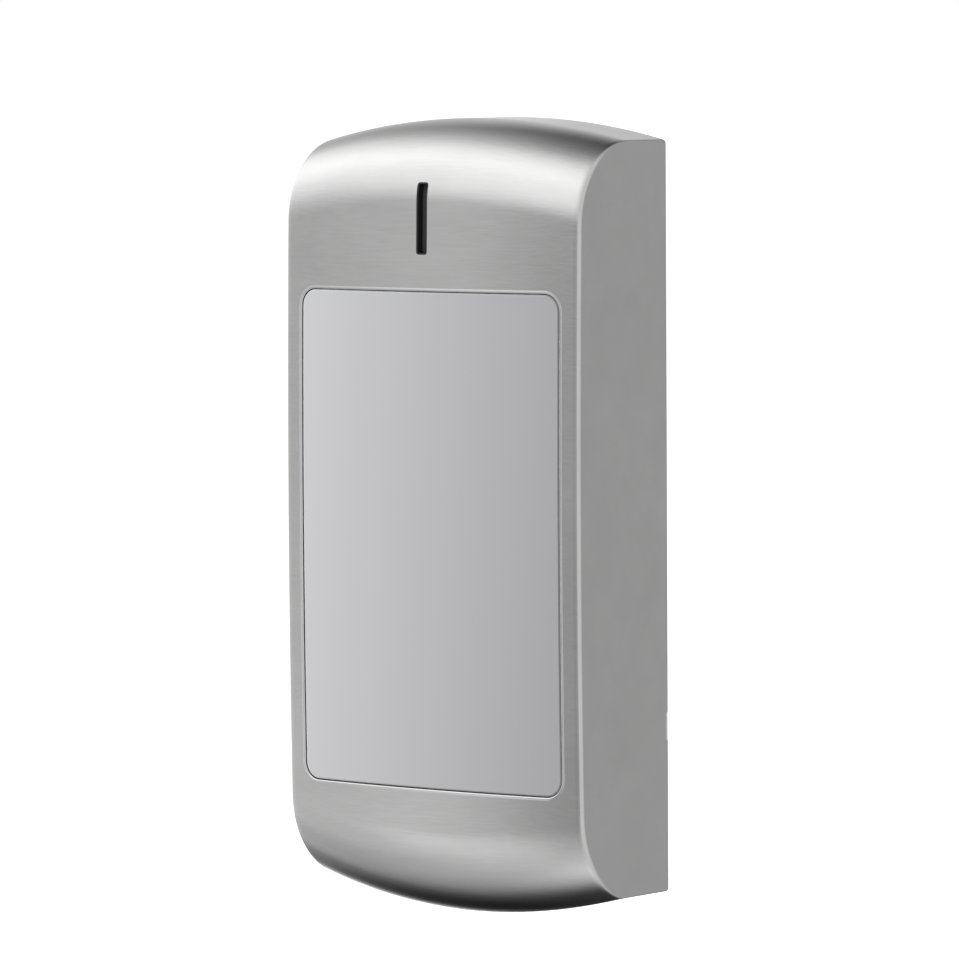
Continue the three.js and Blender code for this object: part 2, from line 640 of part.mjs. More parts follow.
const boardScrew = panHeadScrew({ headRadius: 1.9, headHeight: 1.2, shankRadius: 0.9, length: 4.8 });
BOARD_SCREWS.forEach(([x, z], i) => {
  addInside(`board_screw_${i + 1}`, boardScrew, FINISH.stainless).position.set(x, BOARD_BACK + GAP, z);
});

// ---- Foam seal on the housing's rim ----
addInside(
  "wall_seal",
  cut(
    prism(archedOutline(0.4), -GAP / 2, -SEAL_THICKNESS, 12),
    prism(archedOutline(1.7), 1, -2, 12),
    rimNib(-1, 0.06),
    rimNib(1, 0.06),
    lockPocket(),
  ),
  FINISH.rubber,
);

// ---- Wall plate ----
function wallPlate() {
  const hooks = [-1, 1].flatMap((side) => {
    const x0 = side * HOOK.x - HOOK.width / 2;
    const x1 = x0 + HOOK.width;
    return [
      block(x0, x1, -HOOK.reach, -PLATE_THICKNESS + 0.5, HOOK.z, HOOK.z + HOOK.thickness),
      block(x0, x1, -HOOK.reach, -HOOK.reach + HOOK.lip, HOOK.z, HOOK.z + HOOK.rise),
    ];
  });
  const tabHalf = LOCK_TAB.width / 2;
  const padHalf = LOCK_PAD.width / 2 + 0.7;
  const tab = block(-tabHalf, tabHalf, -LOCK_TAB.reach, -PLATE_THICKNESS + 0.5, LOCK_TAB.z, LOCK_TAB.z + LOCK_TAB.thickness);
  const wallSlots = [-1, 1].map((side) =>
    prism(
      roundedRectangle(0, side * WALL_SCREW_SPACING / 2, WALL_SLOT.width, WALL_SLOT.height, WALL_SLOT.corner),
      1,
      -4,
      6,
    ),
  );
  const { x, z, width, height, corner } = CABLE_OPENING;
  return cut(
    join(prism(archedOutline(SIDE_WALL + PLATE_CLEARANCE), 0, -PLATE_THICKNESS, 12), ...hooks, tab),
    prism(roundedRectangle(x, z, width, height, corner), 1, -4, 6),
    ...wallSlots,
    block(-padHalf, padHalf, -PLATE_THICKNESS - 1, 1, -HEIGHT, LOCK_PAD.top + 0.4),
    barY(TAMPER.x, TAMPER.z, TAMPER.stem + 1.3, 1, -4, 20),
    barZ(0, LOCK_Y, LOCK_SHANK + 0.15, LOCK_TAB.z - 1, LOCK_TAB.z + LOCK_TAB.thickness + 1),
  );
}
add("wall_plate", wallPlate(), FINISH.galvanised);

function cableGrommet() {
  const { x, z, width, height, corner } = CABLE_OPENING;
  const outline = (grow) => roundedRectangle(x, z, width + 2 * grow, height + 2 * grow, corner + grow);
  return cut(
    join(
      prism(outline(-GAP), -0.1, -PLATE_THICKNESS - 0.5, 6),
      prism(outline(1.6), -PLATE_THICKNESS - GAP, -PLATE_THICKNESS - 0.9, 6),
    ),
    prism(outline(-1.5), 1, -4, 6),
  );
}
add("cable_grommet", cableGrommet(), FINISH.rubber);

// ---- Lock screw: its shank is screwed up into the plate's lower tab, its head clamps the housing's pad ----
const WASHER = { radius: 2.95, bore: LOCK_SHANK + 0.1, thickness: 0.5 };
add(
  "lock_washer",
  cut(
    barZ(0, LOCK_Y, WASHER.radius, LOCK_WASHER_TOP - WASHER.thickness, LOCK_WASHER_TOP),
    barZ(0, LOCK_Y, WASHER.bore, LOCK_WASHER_TOP - 2, LOCK_WASHER_TOP + 2),
  ),
  FINISH.whitePlastic,
);
function lockScrew() {
  const headTop = LOCK_WASHER_TOP - WASHER.thickness - GAP;
  const headBottom = headTop - 1.7;
  const shankTop = LOCK_TAB.z + LOCK_TAB.thickness + 0.5;
  const body = turned([
    [0, headBottom],
    [LOCK_HEAD - 0.5, headBottom],
    [LOCK_HEAD, headBottom + 0.5],
    [LOCK_HEAD, headTop],
    [LOCK_SHANK, headTop],
    [LOCK_SHANK, shankTop - 0.5],
    [LOCK_SHANK - 0.5, shankTop],
    [0, shankTop],
  ], 20);
  body.rotateX(Math.PI / 2);
  body.translate(0, LOCK_Y, 0);
  const socket = new THREE.CylinderGeometry(1.25, 1.25, 1.4, 6);
  socket.rotateX(Math.PI / 2);
  socket.translate(0, LOCK_Y, headBottom + 0.3);
  return cut(toSolid(body), cut(toSolid(socket), barZ(0, LOCK_Y, 0.4, -HEIGHT, HEIGHT, 12)));
}
add("lock_screw", lockScrew(), FINISH.stainless);

export default reader;
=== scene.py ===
import math

import bmesh
import bpy
from mathutils import Matrix, Vector
from mathutils.bvhtree import BVHTree
from mathutils.geometry import barycentric_transform


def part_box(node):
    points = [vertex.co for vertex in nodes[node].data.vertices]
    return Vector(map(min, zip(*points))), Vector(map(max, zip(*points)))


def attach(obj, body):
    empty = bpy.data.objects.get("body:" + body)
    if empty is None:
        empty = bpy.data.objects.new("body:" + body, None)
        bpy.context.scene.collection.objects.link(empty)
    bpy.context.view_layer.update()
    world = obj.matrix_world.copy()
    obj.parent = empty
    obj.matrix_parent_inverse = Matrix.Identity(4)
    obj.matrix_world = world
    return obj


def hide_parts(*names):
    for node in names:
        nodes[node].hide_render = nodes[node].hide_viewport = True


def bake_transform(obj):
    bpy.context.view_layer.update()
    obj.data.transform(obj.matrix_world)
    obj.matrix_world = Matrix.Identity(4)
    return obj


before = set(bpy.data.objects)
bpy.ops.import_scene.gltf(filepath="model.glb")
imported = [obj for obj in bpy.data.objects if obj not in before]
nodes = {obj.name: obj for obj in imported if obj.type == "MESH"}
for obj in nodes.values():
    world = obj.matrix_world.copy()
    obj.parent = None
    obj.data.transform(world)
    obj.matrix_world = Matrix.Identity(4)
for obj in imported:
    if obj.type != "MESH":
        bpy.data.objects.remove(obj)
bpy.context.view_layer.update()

# ---- Camera ----
# A long lens, a little above the middle of the reader and well round to its right-hand side, so the
# front is foreshortened and the whole right side face shows.
TURN = math.radians(37.92)
TILT = math.radians(4.06)
ROLL = math.radians(-0.323)
LENS = 259.8
DISTANCE = 1.0487
AIM = Vector((0, -0.0094, 0.0002))
SENSOR = 36
SHIFT = (-0.0022, 0.0348)

ahead = Vector((-math.sin(TURN) * math.cos(TILT), math.cos(TURN) * math.cos(TILT), -math.sin(TILT)))
across = Vector((math.cos(TURN), math.sin(TURN), 0))
upward = across.cross(ahead)
right = math.cos(ROLL) * across + math.sin(ROLL) * upward
up = math.cos(ROLL) * upward - math.sin(ROLL) * across
camera_data = bpy.data.cameras.new("reader_camera")
camera_data.lens = LENS
camera_data.sensor_width = SENSOR
camera_data.shift_x, camera_data.shift_y = SHIFT
camera_data.clip_end = 100
camera = bpy.data.objects.new("reader_camera", camera_data)
bpy.context.scene.collection.objects.link(camera)
turn = Matrix((right, up, -ahead)).transposed().to_4x4()
camera.matrix_world = Matrix.Translation(AIM - ahead * DISTANCE) @ turn
bpy.context.scene.camera = camera
bpy.context.scene.view_settings.view_transform = "Standard"

# ---- Wall plate ----
# Pressed from 1.5 mm bright zinc-plated steel and screwed to the wall through its two slots. Two folded
# hooks at the top carry the housing, and a folded tab at the bottom is tapped for the lock screw.


class Wire:
    """A shader socket that sums can be written on; node() adds any other node beside it."""

    def __init__(self, tree, socket=None):
        self.tree = tree
        self.socket = socket

    def node(self, kind, settings=None, inputs=None, out=0):
        made = self.tree.nodes.new("ShaderNode" + kind)
        for name, value in (settings or {}).items():
            if name == "stops":
                ramp = made.color_ramp
                while len(ramp.elements) < len(value):
                    ramp.elements.new(0.5)
                for element, (place, colour) in zip(ramp.elements, value):
                    element.position = place
                    element.color = colour if len(colour) == 4 else (*colour, 1)
            else:
                setattr(made, name, value)
        for name, value in (inputs or {}).items():
            if isinstance(value, Wire):
                self.tree.links.new(value.socket, made.inputs[name])
            else:
                made.inputs[name].default_value = value
        return Wire(self.tree, made.outputs[out])

    def maths(self, operation, first, second=0.0):
        return self.node("Math", {"operation": operation}, {0: first, 1: second})

    def __add__(self, other):
        return self.maths("ADD", self, other)

    def __radd__(self, other):
        return self.maths("ADD", other, self)

    def __sub__(self, other):
        return self.maths("SUBTRACT", self, other)

    def __rsub__(self, other):
        return self.maths("SUBTRACT", other, self)

    def __mul__(self, other):
        return self.maths("MULTIPLY", self, other)

    def __rmul__(self, other):
        return self.maths("MULTIPLY", other, self)


def tinted(factor, low, high):
    """Mixes two colours; 6 and 7 are a Mix node's colour inputs, and its output 2 is the colour."""
    low, high = ((*c, 1) if isinstance(c, tuple) and len(c) == 3 else c for c in (low, high))
    return factor.node("Mix", {"data_type": "RGBA"}, {0: factor, 6: low, 7: high}, out=2)


def stretched(place, x, y, z):
    return place.node("VectorMath", {"operation": "MULTIPLY"}, {0: place, 1: (x, y, z)})


def grain(place, scale, detail=2.0, roughness=0.5):
    inputs = {"Vector": place, "Scale": scale, "Detail": detail, "Roughness": roughness}
    return place.node("TexNoise", {}, inputs, "Fac")


def window(value, low, high):
    """0 up to low and 1 from high, smoothly between."""
    return value.node(
        "MapRange",
        {"interpolation_type": "SMOOTHSTEP"},
        {"Value": value, "From Min": low, "From Max": high, "To Min": 0.0, "To Max": 1.0},
    )


def bumped(height, distance, strength=1.0):
    return height.node("Bump", {}, {"Height": height, "Distance": distance, "Strength": strength})


def finish(name, recipe):
    """A material whose shader sockets are set by recipe(place), place being the piece's own metres."""
    material = bpy.data.materials.new(name)
    material.use_nodes = True
    shader = material.node_tree.nodes["Principled BSDF"]
    place = Wire(material.node_tree).node("TexCoord", out="Object")
    for socket, value in recipe(place).items():
        if isinstance(value, Wire):
            material.node_tree.links.new(value.socket, shader.inputs[socket])
        else:
            shader.inputs[socket].default_value = value
    return material


def dress(piece, material):
    piece.data.materials.clear()
    piece.data.materials.append(material)
    return piece


def zinc_plate(place):
    cloud = grain(place, 90, 3)
    rolled = grain(stretched(place, 1, 1, 0.03), 2600, 2)
    scratch = window(grain(stretched(place, 0.05, 1, 1), 900, 3), 0.62, 0.7)
    return {
        "Base Color": tinted(cloud, (0.42, 0.44, 0.47), (0.60, 0.62, 0.64)),
        "Metallic": 1.0,
        "Roughness": 0.26 + 0.16 * cloud + 0.1 * scratch,
        "Normal": bumped(rolled + 0.5 * scratch, 0.00002, 0.5),
    }


dress(nodes["wall_plate"], finish("zinc_plate", zinc_plate))

# ---- Cable grommet ----
# A moulded black rubber collar pushed into the plate's cable opening, so the edge can't cut the wires.


def rubber(place):
    skin = grain(place, 1800, 3)
    dust = window(grain(place, 140, 4), 0.5, 0.75)
    return {
        "Base Color": tinted(dust, (0.018, 0.018, 0.019), (0.035, 0.034, 0.033)),
        "Roughness": 0.72 + 0.14 * dust,
        "Normal": bumped(skin, 0.00003, 0.5),
    }


RUBBER = finish("moulded_rubber", rubber)
dress(nodes["cable_grommet"], RUBBER)

# ---- Front housing ----
# One zinc die casting, arched at both ends and crowned across the front, linished and plated satin
# nickel. It is open at the back, and hangs on the plate's hooks by two ribs cast inside its top wall.
WIDTH = 56.0
SIDE_DEPTH = 21.8
FRONT_CROWN = 2.0
FRONT_BOW = 0.45
BOW_REACH = 42.3
TOP_ARCH = 3.35
BOTTOM_ARCH = 3.8
TOP_RADIUS = 12.4
BOTTOM_RADIUS = 13.7
BOTTOM_DROP = 13.15
SEAL = 0.5
RIM = 0.06  # the rim's clearance from the wall
REBATE = 0.38  # the rim's thickness beside the foam seal
WALL = 1.0
SIDE_TOP = 60 - TOP_ARCH
SIDE_BOTTOM = -60 + BOTTOM_ARCH
TOP_CENTRE = (SIDE_DEPTH - TOP_RADIUS, SIDE_TOP - TOP_RADIUS)
BOTTOM_CENTRE = (SIDE_DEPTH - BOTTOM_RADIUS, SIDE_BOTTOM + BOTTOM_DROP)
EDGE_ROUND = 0.5
EDGE_STEPS = 4


def arch_share(x):
    """1 on the middle line, falling to 0 at the two side faces."""
    return 1 - (2 * x / WIDTH) ** 2


def shaped(x, depth, z):
    """Carries a point of the side profile to its place across the width."""
    share = arch_share(x)
    stretch = 1 + (FRONT_CROWN * share - FRONT_BOW * (z / BOW_REACH) ** 2) / (SIDE_DEPTH - SEAL)
    upper = min(max((z - BOTTOM_CENTRE[1]) / (TOP_CENTRE[1] - BOTTOM_CENTRE[1]), 0), 1)
    return (
        x,
        -(SEAL + (depth - SEAL) * stretch),
        z + share * (TOP_ARCH * upper - BOTTOM_ARCH * (1 - upper)),
    )


def side_profile(inset, rear, fine):
    """The side profile from the rear top corner round the front to the rear bottom corner."""
    top = SIDE_TOP - inset
    points = [(rear + (TOP_CENTRE[0] - rear) * i / fine, top) for i in range(fine)]
    arc = 4 * fine
    for i in range(arc + 1):
        a = math.pi / 2 * i / arc
        points.append((
            TOP_CENTRE[0] + (TOP_RADIUS - inset) * math.sin(a),
            TOP_CENTRE[1] + (TOP_RADIUS - inset) * math.cos(a),
        ))
    face = 8 * fine
    for i in range(1, face):
        z = TOP_CENTRE[1] + (BOTTOM_CENTRE[1] - TOP_CENTRE[1]) * i / face
        points.append((SIDE_DEPTH - inset, z))
    last = math.asin((BOTTOM_DROP - inset) / (BOTTOM_RADIUS - inset))
    for i in range(arc + 1):
        a = last * i / arc
        points.append((
            BOTTOM_CENTRE[0] + (BOTTOM_RADIUS - inset) * math.cos(a),
            BOTTOM_CENTRE[1] - (BOTTOM_RADIUS - inset) * math.sin(a),
        ))
    low = points[-1]
    points += [(low[0] + (rear - low[0]) * i / fine, low[1]) for i in range(1, fine + 1)]
    return points


def solid(name, vertices, faces):
    mesh = bpy.data.meshes.new(name)
    mesh.from_pydata(vertices, [], faces)
    mesh.validate()
    piece = bpy.data.objects.new(name, mesh)
    bpy.context.scene.collection.objects.link(piece)
    return piece


def facing_out(piece):
    upright = bmesh.new()
    upright.from_mesh(piece.data)
    bmesh.ops.recalc_face_normals(upright, faces=upright.faces)
    upright.to_mesh(piece.data)
    upright.free()
    return piece


def lofted(name, rings):
    """A closed skin over rings of equal count, with a flat cap on the first and the last."""
    count = len(rings[0])
    vertices = [point for ring in rings for point in ring]
    faces = []
    for r in range(len(rings) - 1):
        for i in range(count):
            j = (i + 1) % count
            faces.append((r * count + i, r * count + j, (r + 1) * count + j, (r + 1) * count + i))
    faces.append(tuple(reversed(range(count))))
    faces.append(tuple((len(rings) - 1) * count + i for i in range(count)))
    return facing_out(solid(name, vertices, faces))


def casing(name, inset, rear, fine, across_steps, edge=0.0):
    """The casing's outer form set in by inset, solid from the depth rear to the front.

    edge rounds off the two long edges between the side faces and the front.
    """
    half = WIDTH / 2 - inset
    slices = []
    rounds = EDGE_STEPS if edge else 0
    for i in range(rounds):
        a = math.pi / 2 * i / rounds
        slices.append((-half + edge * (1 - math.cos(a)), inset + edge * (1 - math.sin(a))))
    for i in range(across_steps + 1):
        slices.append(((half - edge) * (2 * i / across_steps - 1), inset))
    for i in reversed(range(rounds)):
        a = math.pi / 2 * i / rounds
        slices.append((half - edge * (1 - math.cos(a)), inset + edge * (1 - math.sin(a))))
    return lofted(name, [[shaped(x, d, z) for d, z in side_profile(e, rear, fine)] for x, e in slices])


def settled(piece):
    """Applies the piece's modifiers."""
    evaluated = piece.evaluated_get(bpy.context.evaluated_depsgraph_get())
    mesh = bpy.data.meshes.new_from_object(evaluated)
    piece.modifiers.clear()
    piece.data = mesh
    return piece


def combined(piece, operation, *tools):
    for tool in tools:
        step = piece.modifiers.new("cut", "BOOLEAN")
        step.object = tool
        step.operation = operation
        step.solver = "MANIFOLD"
    settled(piece)
    for tool in tools:
        bpy.data.objects.remove(tool)
    return piece


def in_metres(piece):
    """Shapes are drawn in millimetres and scaled down once they are whole."""
    piece.data.transform(Matrix.Scale(0.001, 4))
    return piece


def front_y(x, z, inset):
    """Where the casing's front, set in by inset, lies at x and z."""
    share = arch_share(x)
    low, high = BOTTOM_CENTRE[1], TOP_CENTRE[1]
    arched = high - low + share * (TOP_ARCH + BOTTOM_ARCH)
    flat = low + (z - low + share * BOTTOM_ARCH) * (high - low) / arched
    depth = SIDE_DEPTH - inset
    if flat > high:
        flat = z - share * TOP_ARCH
        radius = TOP_RADIUS - inset
        depth = TOP_CENTRE[0] + math.sqrt(max(radius**2 - (flat - high) ** 2, 0))
    return shaped(x, depth, flat)[1]


def round_rectangle(cx, cz, width, height, corner, steps=8, along=1):
    """Points round a rectangle: steps on each rounded corner and along on each straight side."""
    points = []
    wide, high = width / 2 - corner, height / 2 - corner
    for sx, sz, start in ((1, -1, -90), (1, 1, 0), (-1, 1, 90), (-1, -1, 180)):
        for i in range(steps + 1):
            a = math.radians(start + 90 * i / steps)
            points.append((cx + sx * wide + corner * math.cos(a), cz + sz * high + corner * math.sin(a)))
        x, z = points[-1]
        run_x, run_z = (0, 2 * high) if sx * sz < 0 else (2 * wide, 0)
        for i in range(1, along):
            points.append((x - sx * run_x * i / along, z - sz * run_z * i / along))
    return points


# Outlines are middle x, middle z, width, height and corner radius.
PANEL = (0.0, -3.1, 48.9, 74.6, 2.6)
SLOT = (-0.2, 45.15, 2.05, 10.8, 0.45)
SMALLEST_CORNER = 0.05
SIDE_STEPS = 24


def grown(outline, by, steps=8):
    cx, cz, width, height, corner = outline
    corner = max(corner + by, SMALLEST_CORNER)
    return round_rectangle(cx, cz, width + 2 * by, height + 2 * by, corner, steps, SIDE_STEPS)


def following(points, inset):
    return [(x, front_y(x, z, inset), z) for x, z in points]


def filled_in(outline, by, inset, levels):
    """Rings that close an outline in to its middle, all of them lying on the casing's form."""
    cx, cz = outline[:2]
    edge = grown(outline, by)
    return [
        following([(cx + (x - cx) * k / levels, cz + (z - cz) * k / levels) for x, z in edge], inset)
        for k in range(levels, 0, -1)
    ]


WELL_AHEAD = -30.0
FLOOR_LEVELS = 12


def opening(name, outline, gap, round_off, floor):
    """A cutter with a rounded-off mouth at the casing's front and a floor that follows it."""
    far = [[(x, WELL_AHEAD, z) for x, z in grown(outline, gap + 2 * round_off)]]
    mouth = [following(grown(outline, gap + 2 * round_off), -round_off)]
    for i in range(4):
        a = math.pi / 2 * i / 3
        mouth.append(following(
            grown(outline, gap + round_off * (1 - math.sin(a))),
            round_off * (1 - math.cos(a)),
        ))
    return lofted(name, far + mouth + filled_in(outline, gap, floor, FLOOR_LEVELS))


def box(name, low, high):
    (x0, y0, z0), (x1, y1, z1) = low, high
    ring = lambda z: [(x0, y0, z), (x1, y0, z), (x1, y1, z), (x0, y1, z)]
    return lofted(name, [ring(z0), ring(z1)])


def upright_bar(name, x, y, radius, low, high, steps=48):
    ring = [
        (x + radius * math.cos(2 * math.pi * i / steps), y + radius * math.sin(2 * math.pi * i / steps))
        for i in range(steps)
    ]
    return lofted(name, [[(px, py, z) for px, py in ring] for z in (low, high)])


LIP_ROOT = 0.5
LIP_FOOT = 0.02
LIP_SLOPE = 0.2
LIP_TOP = 0.3


def raised_lip(name, outline, reach, rise):
    """A low pad on the casing's front, left as a fine lip round a recess cut through its middle."""
    rings = list(reversed(filled_in(outline, reach, LIP_ROOT, 10)))
    rings.append(following(grown(outline, reach), LIP_FOOT))
    rings.append(following(grown(outline, reach - LIP_SLOPE), -rise))
    return lofted(name, rings + filled_in(outline, reach - LIP_TOP, -rise, FLOOR_LEVELS))


def crisp(mesh, degrees=32):
    """Smooth shading with sharp edges where faces meet at more than the angle."""
    mesh.shade_smooth()
    mesh.set_sharp_from_angle(angle=math.radians(degrees))


BEHIND = -0.5  # the depth of a cutter that starts behind the wall's plane
FORM_STEPS = (10, 76)
housing = casing("housing_casting", 0, RIM, *FORM_STEPS, EDGE_ROUND)
skin = casing("skin", 0, RIM, *FORM_STEPS, EDGE_ROUND)
crisp(skin.data, 40)
hollow = casing("hollow", WALL, BEHIND, 3, 20)
WELD = 0.0005
cast = bpy.data.objects.new("cast", nodes["front_housing"].data.copy())
bpy.context.scene.collection.objects.link(cast)
cast.data.transform(Matrix.Scale(1000, 4))
welded = bmesh.new()
welded.from_mesh(cast.data)
bmesh.ops.remove_doubles(welded, verts=welded.verts, dist=WELD)
welded.to_mesh(cast.data)
welded.free()
combined(hollow, "DIFFERENCE", cast)
rebate = casing("rebate", REBATE, BEHIND, *FORM_STEPS)
SEAL_FRONT = -0.56
combined(rebate, "DIFFERENCE", box("ahead_of_seal", (-40, -40, -70), (40, SEAL_FRONT, 70)))
LIP_REACH, LIP_RISE = 0.62, 0.05
combined(housing, "UNION", raised_lip("panel_lip", PANEL, LIP_REACH, LIP_RISE))
RECESS_GAP, RECESS_ROUND, RECESS_FLOOR = 0.1, 0.12, 1.77
SLOT_ROUND, SLOT_FLOOR = 0.05, 3.4
LOCK_Y = -5.5
BELOW, PAST_WALL = -70, 1
POCKET, POCKET_TOP = 3.3, -57.45
SHANK_HOLE, SHANK_HOLE_TOP = 1.8, -55
combined(
    housing,
    "DIFFERENCE",
    hollow,
    rebate,
    opening("recess", PANEL, RECESS_GAP, RECESS_ROUND, RECESS_FLOOR),
    opening("lamp_slot", SLOT, 0.0, SLOT_ROUND, SLOT_FLOOR),
    upright_bar("pocket", 0, LOCK_Y, POCKET, BELOW, POCKET_TOP),
    box("pocket_way", (-POCKET, LOCK_Y, BELOW), (POCKET, PAST_WALL, POCKET_TOP)),
    upright_bar("shank_hole", 0, LOCK_Y, SHANK_HOLE, BELOW, SHANK_HOLE_TOP),
    box("shank_way", (-SHANK_HOLE, LOCK_Y, BELOW), (SHANK_HOLE, PAST_WALL, SHANK_HOLE_TOP)),
)
NOTCH_LOW, NOTCH_HIGH = -33.4, -29.2
NOTCH_INNER, NOTCH_OUTER, NOTCH_FRONT = 27.2, 28.5, -0.5
NIB = [(27.0, -0.7), (27.35, -0.65), (27.98, -0.08), (27.95, -0.06), (27.0, -0.06)]
combined(housing, "DIFFERENCE", *(
    box(
        f"notch_{side}",
        (min(side * NOTCH_INNER, side * NOTCH_OUTER), NOTCH_FRONT, NOTCH_LOW),
        (max(side * NOTCH_INNER, side * NOTCH_OUTER), PAST_WALL, NOTCH_HIGH),
    )
    for side in (-1, 1)
))
combined(housing, "UNION", *(
    lofted(f"nib_{side}", [[(side * x, y, z) for x, y in NIB] for z in (NOTCH_LOW, NOTCH_HIGH)])
    for side in (-1, 1)
))
form = bmesh.new()
form.from_mesh(skin.data)
bmesh.ops.triangulate(form, faces=form.faces)
form.faces.ensure_lookup_table()
form_tree = BVHTree.FromBMesh(form)
bpy.data.objects.remove(skin)


ALONG_FORM = 0.985
SIDE_FACE = 0.999
STILL_FACING = 0.9


def shade_as_form(piece, reach):
    """Gives faces that lie along the plain form its normals, so that cuts leave reflections alone."""
    mesh = piece.data
    normals = [Vector(corner.vector) for corner in mesh.corner_normals]
    for face in mesh.polygons:
        _, normal, _, distance = form_tree.find_nearest(face.center)
        if distance > reach or normal.dot(face.normal) < ALONG_FORM or abs(face.normal.x) > SIDE_FACE:
            continue
        for loop in face.loop_indices:
            near, _, which, _ = form_tree.find_nearest(mesh.vertices[mesh.loops[loop].vertex_index].co)
            corners = form.faces[which].verts
            smooth = barycentric_transform(near, *(v.co for v in corners), *(v.normal for v in corners))
            if smooth.length > 0.1 and smooth.normalized().dot(face.normal) > STILL_FACING:
                normals[loop] = smooth.normalized()
    mesh.normals_split_custom_set([n[:] for n in normals])


crisp(housing.data)
shade_as_form(housing, 0.03)
in_metres(housing)


def satin_nickel(place):
    brushed = grain(stretched(place, 0.03, 1, 1), 3600, 3, 0.65)
    sweep = grain(stretched(place, 0.5, 1, 1), 120, 4, 0.6)
    handled = window(grain(place, 45, 4), 0.45, 0.8)
    tone = 0.6 * sweep + 0.4 * brushed
    return {
        "Base Color": tinted(tone, (0.54, 0.54, 0.538), (0.72, 0.72, 0.717)),
        "Metallic": 1.0,
        "Roughness": 0.16 + 0.05 * handled + 0.06 * brushed,
        "Normal": bumped(0.8 * sweep + 0.2 * brushed, 0.00012, 0.35),
    }


def bare_casting(place):
    """The inside of the casting, which is neither linished nor handled."""
    skin = grain(place, 1300, 4, 0.6)
    flow = grain(place, 55, 3)
    return {
        "Base Color": tinted(flow, (0.30, 0.30, 0.31), (0.44, 0.44, 0.45)),
        "Metallic": 1.0,
        "Roughness": 0.48 + 0.14 * skin,
        "Normal": bumped(skin, 0.00006, 0.5),
    }


PLATED_DEPTH = 0.6
RECESS_REACH = -0.0185  # metres; ahead of this, the recess and the slot are plated as well
dress(housing, finish("satin_nickel", satin_nickel))
housing.data.materials.append(finish("bare_casting", bare_casting))
for face in housing.data.polygons:
    _, _, _, distance = form_tree.find_nearest(face.center * 1000)
    face.material_index = int(distance > PLATED_DEPTH and face.center.y > RECESS_REACH)
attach(housing, "housing")
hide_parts("front_housing")

# ---- Reading panel ----
# A thin moulded plate of fine-matt light grey plastic that radio waves pass through. It is crowned like
# the casting, has softly rounded edges, and is held on the recess's ledge by adhesive tape.
PANEL_SINK = 0.09
PANEL_BACK = 1.62
PANEL_EDGE = 0.3
PANEL_LEVELS = 24


def crowned_plate(name, outline, sink, back, edge):
    """A plate with a rounded front edge, whose two faces follow the casing's form."""
    rings = list(reversed(filled_in(outline, 0, back, 10)))
    for i in range(EDGE_STEPS + 1):
        a = math.pi / 2 * i / EDGE_STEPS
        drawn_in = grown(outline, -edge * (1 - math.cos(a)))
        rings.append(following(drawn_in, sink + edge * (1 - math.sin(a))))
    return lofted(name, rings + filled_in(outline, -edge, sink, PANEL_LEVELS)[1:])


def panel_plastic(place):
    spark = grain(place, 5200, 2)
    flow = grain(stretched(place, 1, 1, 0.35), 30, 2)
    return {
        "Base Color": tinted(flow, (0.52, 0.52, 0.538), (0.545, 0.545, 0.563)),
        "Roughness": 0.42 + 0.08 * spark,
        "Normal": bumped(spark, 0.00001, 0.35),
    }


panel = crowned_plate("reading_window", PANEL, PANEL_SINK, PANEL_BACK, PANEL_EDGE)
crisp(panel.data, 40)
shade_as_form(panel, PANEL_SINK + 0.02)
in_metres(panel)
dress(panel, finish("panel_plastic", panel_plastic))
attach(panel, "housing")
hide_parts("reading_panel")

# ---- Panel tape ----
# A ring of translucent foam-backed adhesive tape on the ledge behind the panel.


def tape(place):
    pores = place.node("TexVoronoi", {}, {"Vector": place, "Scale": 2600.0}, "Distance")
    return {
        "Base Color": tinted(pores, (0.42, 0.41, 0.38), (0.62, 0.60, 0.56)),
        "Roughness": 0.6 + 0.2 * pores,
        "Normal": bumped(pores, 0.00003, 0.4),
    }


dress(nodes["panel_tape"], finish("foam_tape", tape))

# ---- Status lamp window ----
# A thin black moulded liner lines the slot in the casting, and a smoked acrylic light guide with a
# flange behind the wall closes it, set well back from the metal's face.
LINER_WALL = 0.2
LINER_FIT = -0.02
LINER_FRONT, LINER_BACK = 0.06, 2.9
GUIDE_FIT = -0.1
GUIDE_FRONT, GUIDE_BACK = 1.1, 3.2
TUBE_CORNER = 0.4
FLANGE = (0, SLOT[1], 4, 11.9, 1)
FLANGE_REAR, FLANGE_MIDDLE, FLANGE_INSET = -18.8, -19.0, 3.1


def slot_tube(name, by, front, back):
    """A closed prism of the slot's outline whose two ends follow the casing's form."""
    outline = (*SLOT[:4], TUBE_CORNER)
    rings = list(reversed(filled_in(outline, by, back, 3))) + filled_in(outline, by, front, 3)
    return lofted(name, rings)


def smoked_acrylic(place):
    haze = grain(place, 900, 2)
    return {
        "Base Color": tinted(haze, (0.14, 0.14, 0.145), (0.18, 0.18, 0.185)),
        "Roughness": 0.08 + 0.06 * haze,
        "Coat Weight": 1.0,
        "Coat Roughness": 0.05,
    }


def moulded_black(place):
    spark = grain(place, 3800, 3)
    flow = grain(stretched(place, 1, 1, 0.3), 60, 2)
    return {
        "Base Color": tinted(flow, (0.016, 0.016, 0.017), (0.028, 0.028, 0.029)),
        "Roughness": 0.48 + 0.16 * spark,
        "Normal": bumped(spark, 0.00002, 0.6),
    }


